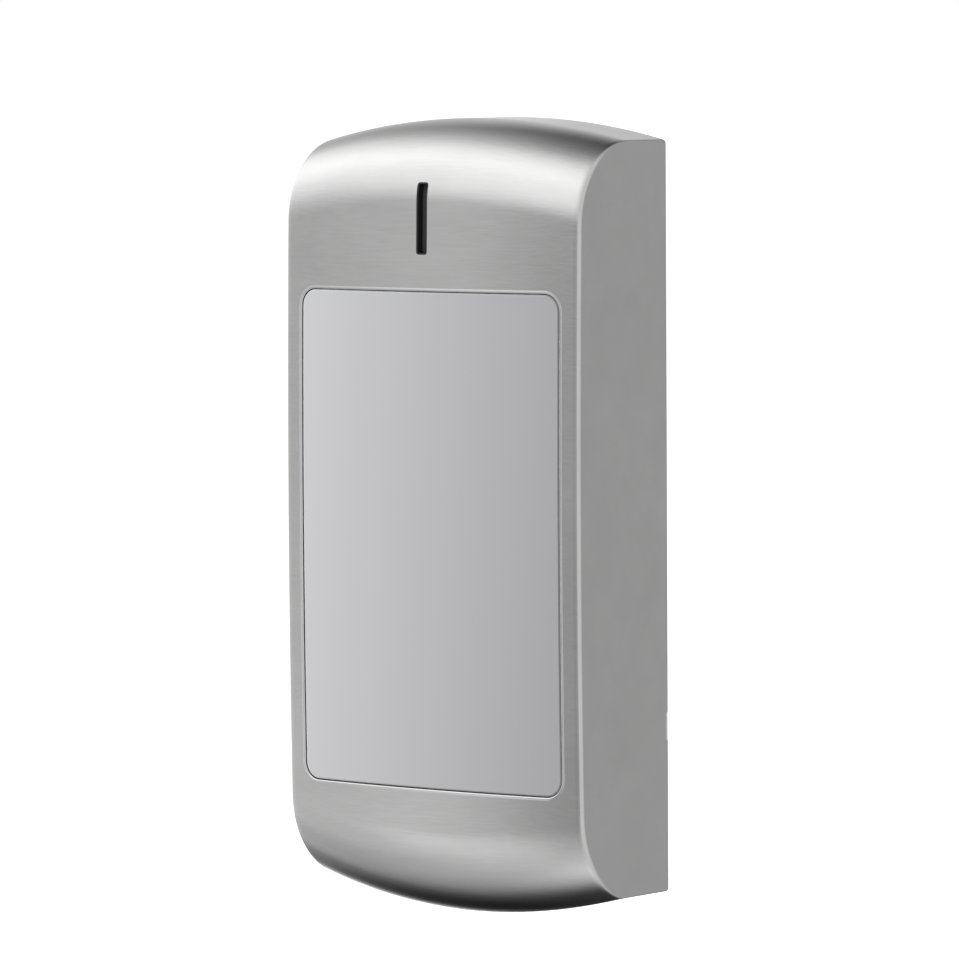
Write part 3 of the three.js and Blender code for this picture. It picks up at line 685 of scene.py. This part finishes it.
MOULDED_BLACK = finish("moulded_black", moulded_black)
liner = slot_tube("slot_liner", LINER_FIT, LINER_FRONT, LINER_BACK)
combined(liner, "DIFFERENCE", slot_tube("bore", LINER_FIT - LINER_WALL, -1.0, 3.6))
light_guide = slot_tube("light_guide", GUIDE_FIT - LINER_WALL, GUIDE_FRONT, GUIDE_BACK)
flange_edge = round_rectangle(*FLANGE, 6)
flange = lofted("flange", [
    *([(x, y, z) for x, z in flange_edge] for y in (FLANGE_REAR, FLANGE_MIDDLE)),
    following(flange_edge, FLANGE_INSET),
])
combined(light_guide, "UNION", flange)
for piece, node, material, slot in (
    (liner, "indicator_bezel", MOULDED_BLACK, "black_plastic"),
    (light_guide, "indicator_lens", finish("smoked_acrylic", smoked_acrylic), "smoked_plastic"),
):
    crisp(in_metres(piece).data)
    dress(piece, material)
    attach(piece, "housing")
    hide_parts(node)
dress(nodes["light_shroud"], MOULDED_BLACK)

# ---- Status lamps ----
# Two lamps with tinted epoxy lenses, soldered to the board behind the light guide.


def lamp_epoxy(dark, light):
    """The recipe of a tinted lens between two colours."""
    def recipe(place):
        depth = grain(place, 1500, 2)
        return {
            "Base Color": tinted(depth, dark, light),
            "Roughness": 0.14 + 0.1 * depth,
            "Coat Weight": 0.6,
            "Coat Roughness": 0.08,
        }
    return recipe


for colour, dark, light in (
    ("red", (0.30, 0.01, 0.008), (0.55, 0.03, 0.02)),
    ("green", (0.01, 0.24, 0.04), (0.03, 0.46, 0.10)),
):
    dress(nodes[f"lamp_{colour}"], finish(f"{colour}_lamp_epoxy", lamp_epoxy(dark, light)))

# ---- Circuit board ----
# A 1.6 mm glass-epoxy laminate under green solder mask, its copper tracks showing as lighter lines. It
# is drilled for the screws and clamped between the cast bosses and the rear cover's posts.


def solder_mask(place):
    pour = window(grain(place, 55, 1), 0.46, 0.5)
    flat = place.node("Mapping", {}, {"Vector": place, "Rotation": (math.pi / 2, 0, 0)})
    track = pour * place.node(
        "TexBrick",
        {"offset": 0.37, "offset_frequency": 3, "squash": 0.6, "squash_frequency": 2},
        {"Vector": flat, "Scale": 95.0, "Mortar Size": 0.02, "Mortar Smooth": 0.1, "Bias": -0.2,
         "Brick Width": 0.85, "Row Height": 0.11},
        "Fac",
    )
    cells = {"Vector": place, "Scale": 1500.0}
    weave = place.node("TexVoronoi", {"distance": "CHEBYCHEV"}, cells, "Distance")
    return {
        "Base Color": tinted(0.3 * pour + 0.7 * track, (0.010, 0.070, 0.028), (0.035, 0.170, 0.070)),
        "Roughness": 0.30 + 0.10 * weave,
        "Coat Weight": 0.3,
        "Coat Roughness": 0.2,
        "Normal": bumped(track + 0.15 * weave, 0.00003, 0.7),
    }


dress(nodes["circuit_board"], finish("solder_mask", solder_mask))

# ---- Antenna ----
# A winding of enamelled copper wire on a moulded former, with a sheet of ferrite inside it that keeps
# the board's copper from damping the field.


def copper_winding(place):
    turns = place.node(
        "TexWave",
        {"wave_type": "BANDS", "bands_direction": "Y", "wave_profile": "SIN"},
        {"Vector": place, "Scale": 1050.0, "Distortion": 0.4, "Detail": 1.0},
        "Fac",
    )
    enamel = grain(place, 300, 3)
    return {
        "Base Color": tinted(enamel, (0.42, 0.13, 0.045), (0.66, 0.27, 0.11)),
        "Metallic": 0.85,
        "Roughness": 0.28 + 0.14 * enamel,
        "Normal": bumped(turns, 0.00008, 0.8),
    }


def ferrite_tile(place):
    grains = place.node("TexVoronoi", {}, {"Vector": place, "Scale": 1400.0}, "Distance")
    return {
        "Base Color": tinted(grains, (0.022, 0.022, 0.024), (0.055, 0.055, 0.058)),
        "Roughness": 0.5 + 0.25 * grains,
        "Normal": bumped(grains, 0.00002, 0.5),
    }


FERRITE = finish("ferrite_tile", ferrite_tile)
dress(nodes["antenna_coil"], finish("copper_winding", copper_winding))
dress(nodes["coil_former"], MOULDED_BLACK)
dress(nodes["ferrite_sheet"], FERRITE)

# ---- Parts on the board ----
# Moulded epoxy chips, drawn metal cans, ceramic chips and a buzzer, soldered to the board's rear face.
# The chips stand on tinned legs that are bent down to the board.


def chip_epoxy(place):
    spark = grain(place, 4200, 3)
    worn = window(grain(place, 500, 3), 0.5, 0.75)
    return {
        "Base Color": tinted(worn, (0.016, 0.016, 0.017), (0.034, 0.034, 0.036)),
        "Roughness": 0.5 + 0.2 * spark,
        "Normal": bumped(spark, 0.00002, 0.5),
    }


def drawn_can(place):
    ring = grain(stretched(place, 1, 0.05, 1), 3000, 2)
    smudge = grain(place, 260, 3)
    return {
        "Base Color": tinted(smudge, (0.62, 0.62, 0.63), (0.78, 0.78, 0.79)),
        "Metallic": 1.0,
        "Roughness": 0.2 + 0.16 * smudge,
        "Normal": bumped(ring, 0.00001, 0.4),
    }


def fired_ceramic(place):
    speck = grain(place, 3000, 4)
    return {
        "Base Color": tinted(speck, (0.30, 0.19, 0.09), (0.47, 0.34, 0.20)),
        "Roughness": 0.45 + 0.2 * speck,
        "Normal": bumped(speck, 0.00002, 0.4),
    }


def bright_tin(place):
    solder = grain(place, 1600, 3)
    return {
        "Base Color": tinted(solder, (0.60, 0.60, 0.61), (0.80, 0.80, 0.80)),
        "Metallic": 1.0,
        "Roughness": 0.2 + 0.2 * solder,
        "Normal": bumped(solder, 0.00002, 0.3),
    }


CHIP = finish("chip_epoxy", chip_epoxy)
CAN = finish("drawn_can", drawn_can)
CERAMIC = finish("fired_ceramic", fired_ceramic)
TIN = finish("bright_tin", bright_tin)
BOARD_REAR = -13.8
for node in ("microcontroller", "reader_chip", "line_driver", "voltage_regulator", "surge_diode"):
    dress(nodes[node], CHIP)
for number in range(1, 5):
    dress(nodes[f"resistor_{number}"], CHIP)
    dress(nodes[f"ceramic_capacitor_{number}"], CERAMIC)
dress(nodes["crystal"], CAN)
dress(nodes["smoothing_capacitor"], CAN)
dress(nodes["power_inductor"], FERRITE)
dress(nodes["buzzer"], MOULDED_BLACK)


LEG_THICKNESS = 0.16
SOLDER = 0.02


def bent_legs(name, node, sides, pitch, width, reach):
    """Tinned legs along a chip's sides: out of its flank, down to the board and out again."""
    low, high = (corner * 1000 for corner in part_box(node))
    middle = (low + high) / 2
    vertices, faces = [], []
    for axis, sign in sides:
        other = 2 - axis
        span = high[other] - low[other] - width
        count = int(span / pitch) + 1
        face = high[axis] if sign > 0 else low[axis]
        for i in range(count):
            along = middle[other] + (i - (count - 1) / 2) * pitch
            path = [(-0.15, 0.55), (0.25, 0.55), (0.45, 0.12), (reach, 0.06)]
            start = len(vertices)
            for out, rise in path:
                for thick in (0.0, LEG_THICKNESS):
                    for edge in (-width / 2, width / 2):
                        point = [0.0, BOARD_REAR + SOLDER + (high[1] - low[1]) * rise + thick, 0.0]
                        point[axis] = face + sign * out
                        point[other] = along + edge
                        vertices.append(point)
            for k in range(len(path) - 1):
                a, b = start + 4 * k, start + 4 * k + 4
                faces += [(a, a + 1, b + 1, b), (a + 2, b + 2, b + 3, a + 3), (a, b, b + 2, a + 2),
                          (a + 1, a + 3, b + 3, b + 1)]
            faces += [(start, start + 2, start + 3, start + 1)]
            end = start + 4 * (len(path) - 1)
            faces += [(end, end + 1, end + 3, end + 2)]
    legs = facing_out(in_metres(solid(name, vertices, faces)))
    crisp(legs.data)
    dress(legs, TIN)
    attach(legs, "housing")


LEFT_AND_RIGHT = ((0, 1), (0, -1))
ABOVE_AND_BELOW = ((2, 1), (2, -1))
for chip, sides, pitch, width, reach in (
    ("microcontroller", LEFT_AND_RIGHT + ABOVE_AND_BELOW, 0.8, 0.32, 0.95),
    ("reader_chip", ABOVE_AND_BELOW, 1.27, 0.4, 1.0),
    ("line_driver", ABOVE_AND_BELOW, 1.27, 0.4, 1.0),
    ("voltage_regulator", ((2, -1),), 2.3, 0.7, 1.2),
    ("surge_diode", ABOVE_AND_BELOW, 2.0, 1.2, 0.8),
):
    bent_legs(f"{chip}_legs", chip, sides, pitch, width, reach)

# ---- Wire header ----
# A shrouded header moulded in natural white plastic, with eight square tinned pins for the cable's plug.
HEADER_X, HEADER_Z = 0.0, -12.0
HEADER_WIDTH, HEADER_HEIGHT, HEADER_DEPTH = 22.4, 5.8, 6.9
HEADER_WALL = 0.8
HEADER_FOOT = BOARD_REAR + 0.05
PINS = 8
PIN_PITCH = 2.5
PIN_HALF, TIP_HALF = 0.31, 0.16


def natural_plastic(place):
    flow = grain(stretched(place, 0.4, 1, 1), 240, 2)
    skin = grain(place, 3000, 2)
    return {
        "Base Color": tinted(flow, (0.70, 0.67, 0.58), (0.80, 0.78, 0.70)),
        "Roughness": 0.36 + 0.1 * skin,
        "Normal": bumped(skin, 0.00001, 0.4),
    }


NATURAL = finish("natural_plastic", natural_plastic)


def rounded_block(name, cx, cz, width, height, corner, back, front, bevel=0.12):
    """A block standing on the board: rounded upright corners and a softened rear edge."""
    return lofted(name, [
        [(x, y, z) for x, z in round_rectangle(cx, cz, width - 2 * inset, height - 2 * inset, corner, 5)]
        for y, inset in ((front, 0), (back - bevel, 0), (back - bevel * 0.3, bevel * 0.3), (back, bevel))
    ])


header = rounded_block(
    "header_shell", HEADER_X, HEADER_Z, HEADER_WIDTH, HEADER_HEIGHT, 0.35, HEADER_FOOT + HEADER_DEPTH,
    HEADER_FOOT,
)
combined(
    header,
    "DIFFERENCE",
    rounded_block(
        "plug_space", HEADER_X, HEADER_Z,
        HEADER_WIDTH - 2 * HEADER_WALL, HEADER_HEIGHT - 2 * HEADER_WALL, 0.2, 1, BOARD_REAR + 1.2, 0.01,
    ),
    box(
        "key_slot",
        (HEADER_X - 2, BOARD_REAR + 3.2, HEADER_Z - 4),
        (HEADER_X + 2, 1, HEADER_Z - 1),
    ),
)
pins = None
for i in range(PINS):
    x = HEADER_X + (i - (PINS - 1) / 2) * PIN_PITCH
    tip = BOARD_REAR + HEADER_DEPTH - 1.4
    post = lofted(f"pin_{i}", [
        [(x + sx * half, y, HEADER_Z + sz * half) for sx, sz in ((-1, -1), (1, -1), (1, 1), (-1, 1))]
        for y, half in ((BOARD_REAR + 0.9, PIN_HALF), (tip - 0.5, PIN_HALF), (tip, TIP_HALF))
    ])
    pins = combined(pins, "UNION", post) if pins else post
pins.name = "header_pins"
for piece, material, slot in ((header, NATURAL, "white_plastic"), (pins, TIN, "can_metal")):
    crisp(in_metres(piece).data)
    dress(piece, material)
    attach(piece, "housing")
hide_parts("wire_header")

# ---- Tamper switch ----
# A push switch on the board, worked by a moulded plunger that reaches through the rear cover and a hole
# in the wall plate. The wall holds the plunger in, and a coil spring of steel wire pushes it out.
TAMPER = (14.0, -24.0)
SWITCH_TOP = -11.95
CUP_FLOOR = -8.9


SMALLEST_RADIUS = 0.004


def turned(name, profile, at, steps=40, along=(0, 1, 0)):
    """A turned piece: profile lists radius and height along the axis from at, from end to end."""
    axis = Vector(along)
    side = axis.orthogonal().normalized()
    other = axis.cross(side)
    rings = [
        [
            Vector(at) + axis * h + max(r, SMALLEST_RADIUS) * (
                math.cos(2 * math.pi * i / steps) * side + math.sin(2 * math.pi * i / steps) * other
            )
            for i in range(steps)
        ]
        for r, h in profile
    ]
    return lofted(name, rings)


STEM = [(0, SWITCH_TOP + 0.6), (0.6, SWITCH_TOP + 0.6), (0.7, SWITCH_TOP + 0.7), (0.7, CUP_FLOOR)]
CUP = [(2.1, CUP_FLOOR), (2.1, SWITCH_TOP + 0.5), (2.9, SWITCH_TOP + 0.5), (3.0, SWITCH_TOP + 0.6)]
SHOULDER = [(3.0, -8.3), (2.9, -8.2), (1.9, -8.2)]
TIP = [(1.9, -0.55), (1.85, -0.3), (1.6, -0.1), (1.3, -0.05), (0, -0.05)]
plunger = turned("plunger", STEM + CUP + SHOULDER + TIP, (TAMPER[0], 0, TAMPER[1]))
crisp(in_metres(plunger).data)
dress(plunger, NATURAL)
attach(plunger, "tamper_plunger")
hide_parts("tamper_plunger")

SPRING_RADIUS = 1.45
SPRING_WIRE = 0.2
SPRING_TURNS = 6
SPRING_STEPS = 28 * SPRING_TURNS
WIRE_SIDES = 10
FLAT_END, RISING = 0.14, 0.72  # shares of the wire's length
spring_start, spring_end = SWITCH_TOP + 0.26, CUP_FLOOR - 0.26
rings = []
for i in range(SPRING_STEPS + 1):
    t = i / SPRING_STEPS
    rise = min(max((t - FLAT_END) / RISING, 0), 1)
    a = 2 * math.pi * SPRING_TURNS * t
    ring = []
    for k in range(WIRE_SIDES):
        b = 2 * math.pi * k / WIRE_SIDES
        radius = SPRING_RADIUS + SPRING_WIRE * math.cos(b)
        ring.append((
            TAMPER[0] + radius * math.cos(a),
            spring_start + (spring_end - spring_start) * rise + SPRING_WIRE * math.sin(b),
            TAMPER[1] + radius * math.sin(a),
        ))
    rings.append(ring)
spring = in_metres(lofted("plunger_spring", rings))
crisp(spring.data, 50)


def bright_steel(place):
    drawn = grain(place, 2400, 2)
    return {
        "Base Color": tinted(drawn, (0.52, 0.52, 0.53), (0.66, 0.66, 0.67)),
        "Metallic": 1.0,
        "Roughness": 0.2 + 0.16 * drawn,
        "Normal": bumped(drawn, 0.00001, 0.3),
    }


STEEL = finish("bright_steel", bright_steel)
dress(spring, STEEL)
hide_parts("tamper_spring")
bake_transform(spring)
dress(nodes["tamper_switch"], MOULDED_BLACK)

# ---- Rear cover ----
# A moulded black tray lid that closes the housing against the weather. Its posts clamp the board on the
# cast bosses, its window leaves the header free, and a cord of silicone seals its skirt.


def textured_black(place):
    spark = place.node("TexVoronoi", {}, {"Vector": place, "Scale": 2100.0}, "Distance")
    flow = grain(stretched(place, 1, 1, 0.4), 45, 3)
    scuff = window(grain(stretched(place, 0.3, 1, 1), 420, 4), 0.6, 0.72)
    return {
        "Base Color": tinted(flow + 0.5 * scuff, (0.014, 0.014, 0.015), (0.034, 0.034, 0.035)),
        "Roughness": 0.46 + 0.2 * spark + 0.08 * scuff,
        "Normal": bumped(spark, 0.00004, 0.6),
    }


def silicone_cord(place):
    skin = grain(place, 1600, 2)
    return {
        "Base Color": tinted(skin, (0.42, 0.40, 0.37), (0.52, 0.50, 0.46)),
        "Roughness": 0.5 + 0.16 * skin,
        "Normal": bumped(skin, 0.00002, 0.4),
    }


dress(nodes["rear_cover"], finish("textured_black", textured_black))
dress(nodes["cover_seal"], finish("silicone_cord", silicone_cord))

# ---- Cover screws and board screws ----
# Stainless pan-head screws with a cross recess. Four long ones run through the cover, its posts and the
# board into the casting, and two short ones hold the board alone.


THREAD_PITCH = 0.5
THREAD_START = 0.6
THREAD_ROOT = 0.84
ARM_HALF = 0.24


def pan_screw(name, node, at, head, rise, shank, length):
    """A ringed shank below the point at, and above it a domed head with a tapering cross recess."""
    thread = []
    turns = int((length - 2 * THREAD_START) / THREAD_PITCH)
    for i in range(turns):
        thread.append((shank * THREAD_ROOT, -length + THREAD_START + THREAD_PITCH * i))
        thread.append((shank, -length + THREAD_START + THREAD_PITCH * (i + 0.5)))
    profile = [
        (0, -length), (shank * 0.6, -length), *thread, (shank * 0.9, -0.35), (shank * 0.9, 0),
        (head - 0.12, 0), (head, 0.12), (head, rise * 0.35),
    ]
    for degrees in (15, 30, 45, 60, 75):
        a = math.radians(degrees)
        profile.append((head * math.cos(a), rise * 0.35 + rise * 0.65 * math.sin(a)))
    screw = turned(name, profile + [(0, rise)], at, 32)
    x, y, z = at
    arm, recess_floor = head * 0.56, y + rise * 0.42
    cross = [lofted("arm", [
        [(x + sx * a * s, level, z + sz * b * s) for sx, sz in ((-1, -1), (1, -1), (1, 1), (-1, 1))]
        for level, s in ((recess_floor, 0.55), (y + rise + 0.2, 1.1))
    ]) for a, b in ((arm, ARM_HALF), (ARM_HALF, arm))]
    combined(screw, "DIFFERENCE", *cross)
    crisp(in_metres(screw).data, 35)
    dress(screw, STEEL)
    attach(screw, "housing")
    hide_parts(node)


COVER_REAR = -4.4
HEAD_CLEARANCE = 0.05
for kind, seat, places, sizes in (
    ("cover_screw", COVER_REAR, ((-20.8, 44.5), (-20.8, -46.0), (20.8, 44.5), (20.8, -46.0)),
     (2.3, 1.4, 1.0, 14.8)),
    ("board_screw", BOARD_REAR, ((-13, 38.5), (13, -43.5)), (1.9, 1.2, 0.9, 4.8)),
):
    for number, (x, z) in enumerate(places, 1):
        at = (x, seat + HEAD_CLEARANCE, z)
        pan_screw(f"{kind}_piece_{number}", f"{kind}_{number}", at, *sizes)

# ---- Wall seal ----
# A ring of black closed-cell foam stuck to the housing's rim and squeezed against the wall.


def closed_cell_foam(place):
    cells = place.node("TexVoronoi", {}, {"Vector": place, "Scale": 3200.0}, "Distance")
    return {
        "Base Color": tinted(cells, (0.012, 0.012, 0.012), (0.035, 0.035, 0.035)),
        "Roughness": 0.85 + 0.1 * cells,
        "Normal": bumped(cells, 0.00006, 0.8),
    }


dress(nodes["wall_seal"], finish("closed_cell_foam", closed_cell_foam))

# ---- Lock screw ----
# A stainless security screw with a centre pin in its hexagon socket, and a white nylon washer. It goes
# up through the open notch in the housing's underside into the plate's tapped tab.
WASHER_TOP = -57.5
WASHER_THICKNESS = 0.5
HEAD_TOP = -58.05
SHANK_TOP = -52.1


def ring_piece(name, outer, inner, low, high, bevel):
    """A flat washer with softened edges."""
    washer = turned(name, [
        (0, low), (outer - bevel, low), (outer, low + bevel),
        (outer, high - bevel), (outer - bevel, high), (0, high),
    ], (0, LOCK_Y, 0), 48, (0, 0, 1))
    return combined(washer, "DIFFERENCE", upright_bar("bore", 0, LOCK_Y, inner, low - 1, high + 1))


washer = ring_piece("nylon_washer", 2.95, 1.56, WASHER_TOP - WASHER_THICKNESS, WASHER_TOP, 0.08)
crisp(in_metres(washer).data)
dress(washer, NATURAL)
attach(washer, "lock_washer")
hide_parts("lock_washer")

thread = []
for i in range(8):
    thread += [(1.26, HEAD_TOP + 1.0 + 0.5 * i), (1.45, HEAD_TOP + 1.25 + 0.5 * i)]
HEAD = [
    (0, HEAD_TOP - 1.7), (2.2, HEAD_TOP - 1.7), (2.5, HEAD_TOP - 1.62), (2.7, HEAD_TOP - 1.42),
    (2.75, HEAD_TOP - 1.2), (2.75, HEAD_TOP - 0.1), (2.65, HEAD_TOP), (1.3, HEAD_TOP),
]
POINT = [(1.26, SHANK_TOP - 0.7), (0.9, SHANK_TOP), (0, SHANK_TOP)]
screw = turned("pin_hex_screw", HEAD + thread + POINT, (0, LOCK_Y, 0), 48, (0, 0, 1))
socket = upright_bar("socket", 0, LOCK_Y, 1.25, HEAD_TOP - 2.5, HEAD_TOP - 0.7, 6)
combined(socket, "DIFFERENCE", upright_bar("centre_pin", 0, LOCK_Y, 0.4, HEAD_TOP - 1.6, HEAD_TOP, 24))
combined(screw, "DIFFERENCE", socket)
crisp(in_metres(screw).data)
dress(screw, STEEL)
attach(screw, "lock_screw")
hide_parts("lock_screw")

# ---- Stage and light ----
# A pale floor that runs back out of sight, one large softbox to the left, and soft pale surroundings
# with darker and lighter patches that the polished metal reflects.


def pale_floor(place):
    mottled = grain(place, 3, 3)
    return {
        "Base Color": tinted(mottled, (0.90, 0.90, 0.90), (0.92, 0.92, 0.92)),
        "Roughness": 0.8,
        "Emission Color": (1, 1, 1, 1),
        "Emission Strength": 0.85,
    }


FLOOR = -0.07
NEAR, FAR = -40, 60
corners = [(NEAR, NEAR, FLOOR), (-NEAR, NEAR, FLOOR), (-NEAR, FAR, FLOOR), (NEAR, FAR, FLOOR)]
floor = solid("floor", corners, [(0, 1, 2, 3)])
dress(floor, finish("pale_floor", pale_floor))
floor.visible_glossy = False
floor.visible_diffuse = False


def softbox(name, place, facing, width, height, power):
    data = bpy.data.lights.new(name, "AREA")
    data.shape = "RECTANGLE"
    data.size = width
    data.size_y = height
    data.energy = power
    lamp = bpy.data.objects.new(name, data)
    bpy.context.scene.collection.objects.link(lamp)
    lamp.location = place
    lamp.rotation_euler = (Vector(facing) - Vector(place)).to_track_quat("-Z", "Y").to_euler()
    return lamp


key = softbox("left_softbox", (-0.94, -0.42, 0.2), (0, 0, 0), 0.4, 0.9, 21.4)
key.visible_glossy = False

world = bpy.data.worlds.new("studio")
world.use_nodes = True
bpy.context.scene.world = world
around = Wire(world.node_tree).node("TexCoord", out="Generated")


def soft_patch(towards, core, reach):
    """1 within core degrees of a direction, fading to 0 at reach degrees from it."""
    centre = Vector(towards).normalized()
    facing = around.node("VectorMath", {"operation": "DOT_PRODUCT"}, {0: around, 1: centre[:]}, "Value")
    return window(facing, math.cos(math.radians(reach)), math.cos(math.radians(core)))


BASE = 1.62
surround = (
    BASE
    + 0.71 * soft_patch((-0.40, -0.58, 0.71), 2, 51)
    + 1.39 * soft_patch((-0.35, 0.79, 0.50), 0, 25)
    - 1.06 * soft_patch((-0.58, -0.75, 0.32), 2, 55)
    - 1.09 * soft_patch((-0.65, -0.26, -0.72), 0, 41)
)
# Each of these darkens what it covers by its strength; a negative strength brightens it.
for towards, core, reach, strength in (
    ((0.17, 0.48, 0.86), 5, 76, 1.0),
    ((-0.45, 0.73, 0.52), 3, 37, 0.58),
    ((-0.26, 0.58, -0.73), 10, 56, 0.96),
    ((0.22, -0.90, -0.38), 5, 55, 1.0),
    ((0.59, 0.64, -0.50), 9, 65, 0.73),
    ((-0.85, 0.53, 0.05), 0, 33, 0.30),
    ((-0.54, 0.66, -0.54), 8, 32, -6.60),
    ((-0.69, -0.55, -0.47), 3, 30, -1.10),
    ((-0.61, 0.47, -0.64), 0, 24, 0.93),
    ((-0.74, -0.50, -0.45), 9, 32, 0.49),
    ((-0.86, -0.51, -0.02), 2, 26, 0.17),
):
    surround = surround * (1 - strength * soft_patch(towards, core, reach))
sideways, inward, above = (around.node("SeparateXYZ", {}, {0: around}, out) for out in range(3))
UNDER_SHADE = 0.75
RIGHT_LEVEL, RIGHT_FALL = 0.80, 0.34
BOUNCE_SHADE = 0.57
DARKEST = 0.01
under = window(-1 * above, 0.05, 0.5) * window(inward, -0.1, 0.35)
surround = surround * (1 - UNDER_SHADE * under)
right_hand = window(sideways, -0.32, -0.02)
right_side = RIGHT_LEVEL - RIGHT_FALL * window(inward, -0.2, 0.5)
surround = surround * (1 - right_hand) + right_side * right_hand
surround = surround * (1 - BOUNCE_SHADE * around.node("LightPath", out="Is Diffuse Ray"))
seen = around.node("LightPath", out="Is Camera Ray")
surround = surround * (1 - seen) + seen
background = world.node_tree.nodes["Background"]
strength = surround.maths("MAXIMUM", surround, DARKEST)
world.node_tree.links.new(strength.socket, background.inputs["Strength"])
background.inputs["Color"].default_value = (1, 1, 1, 1)
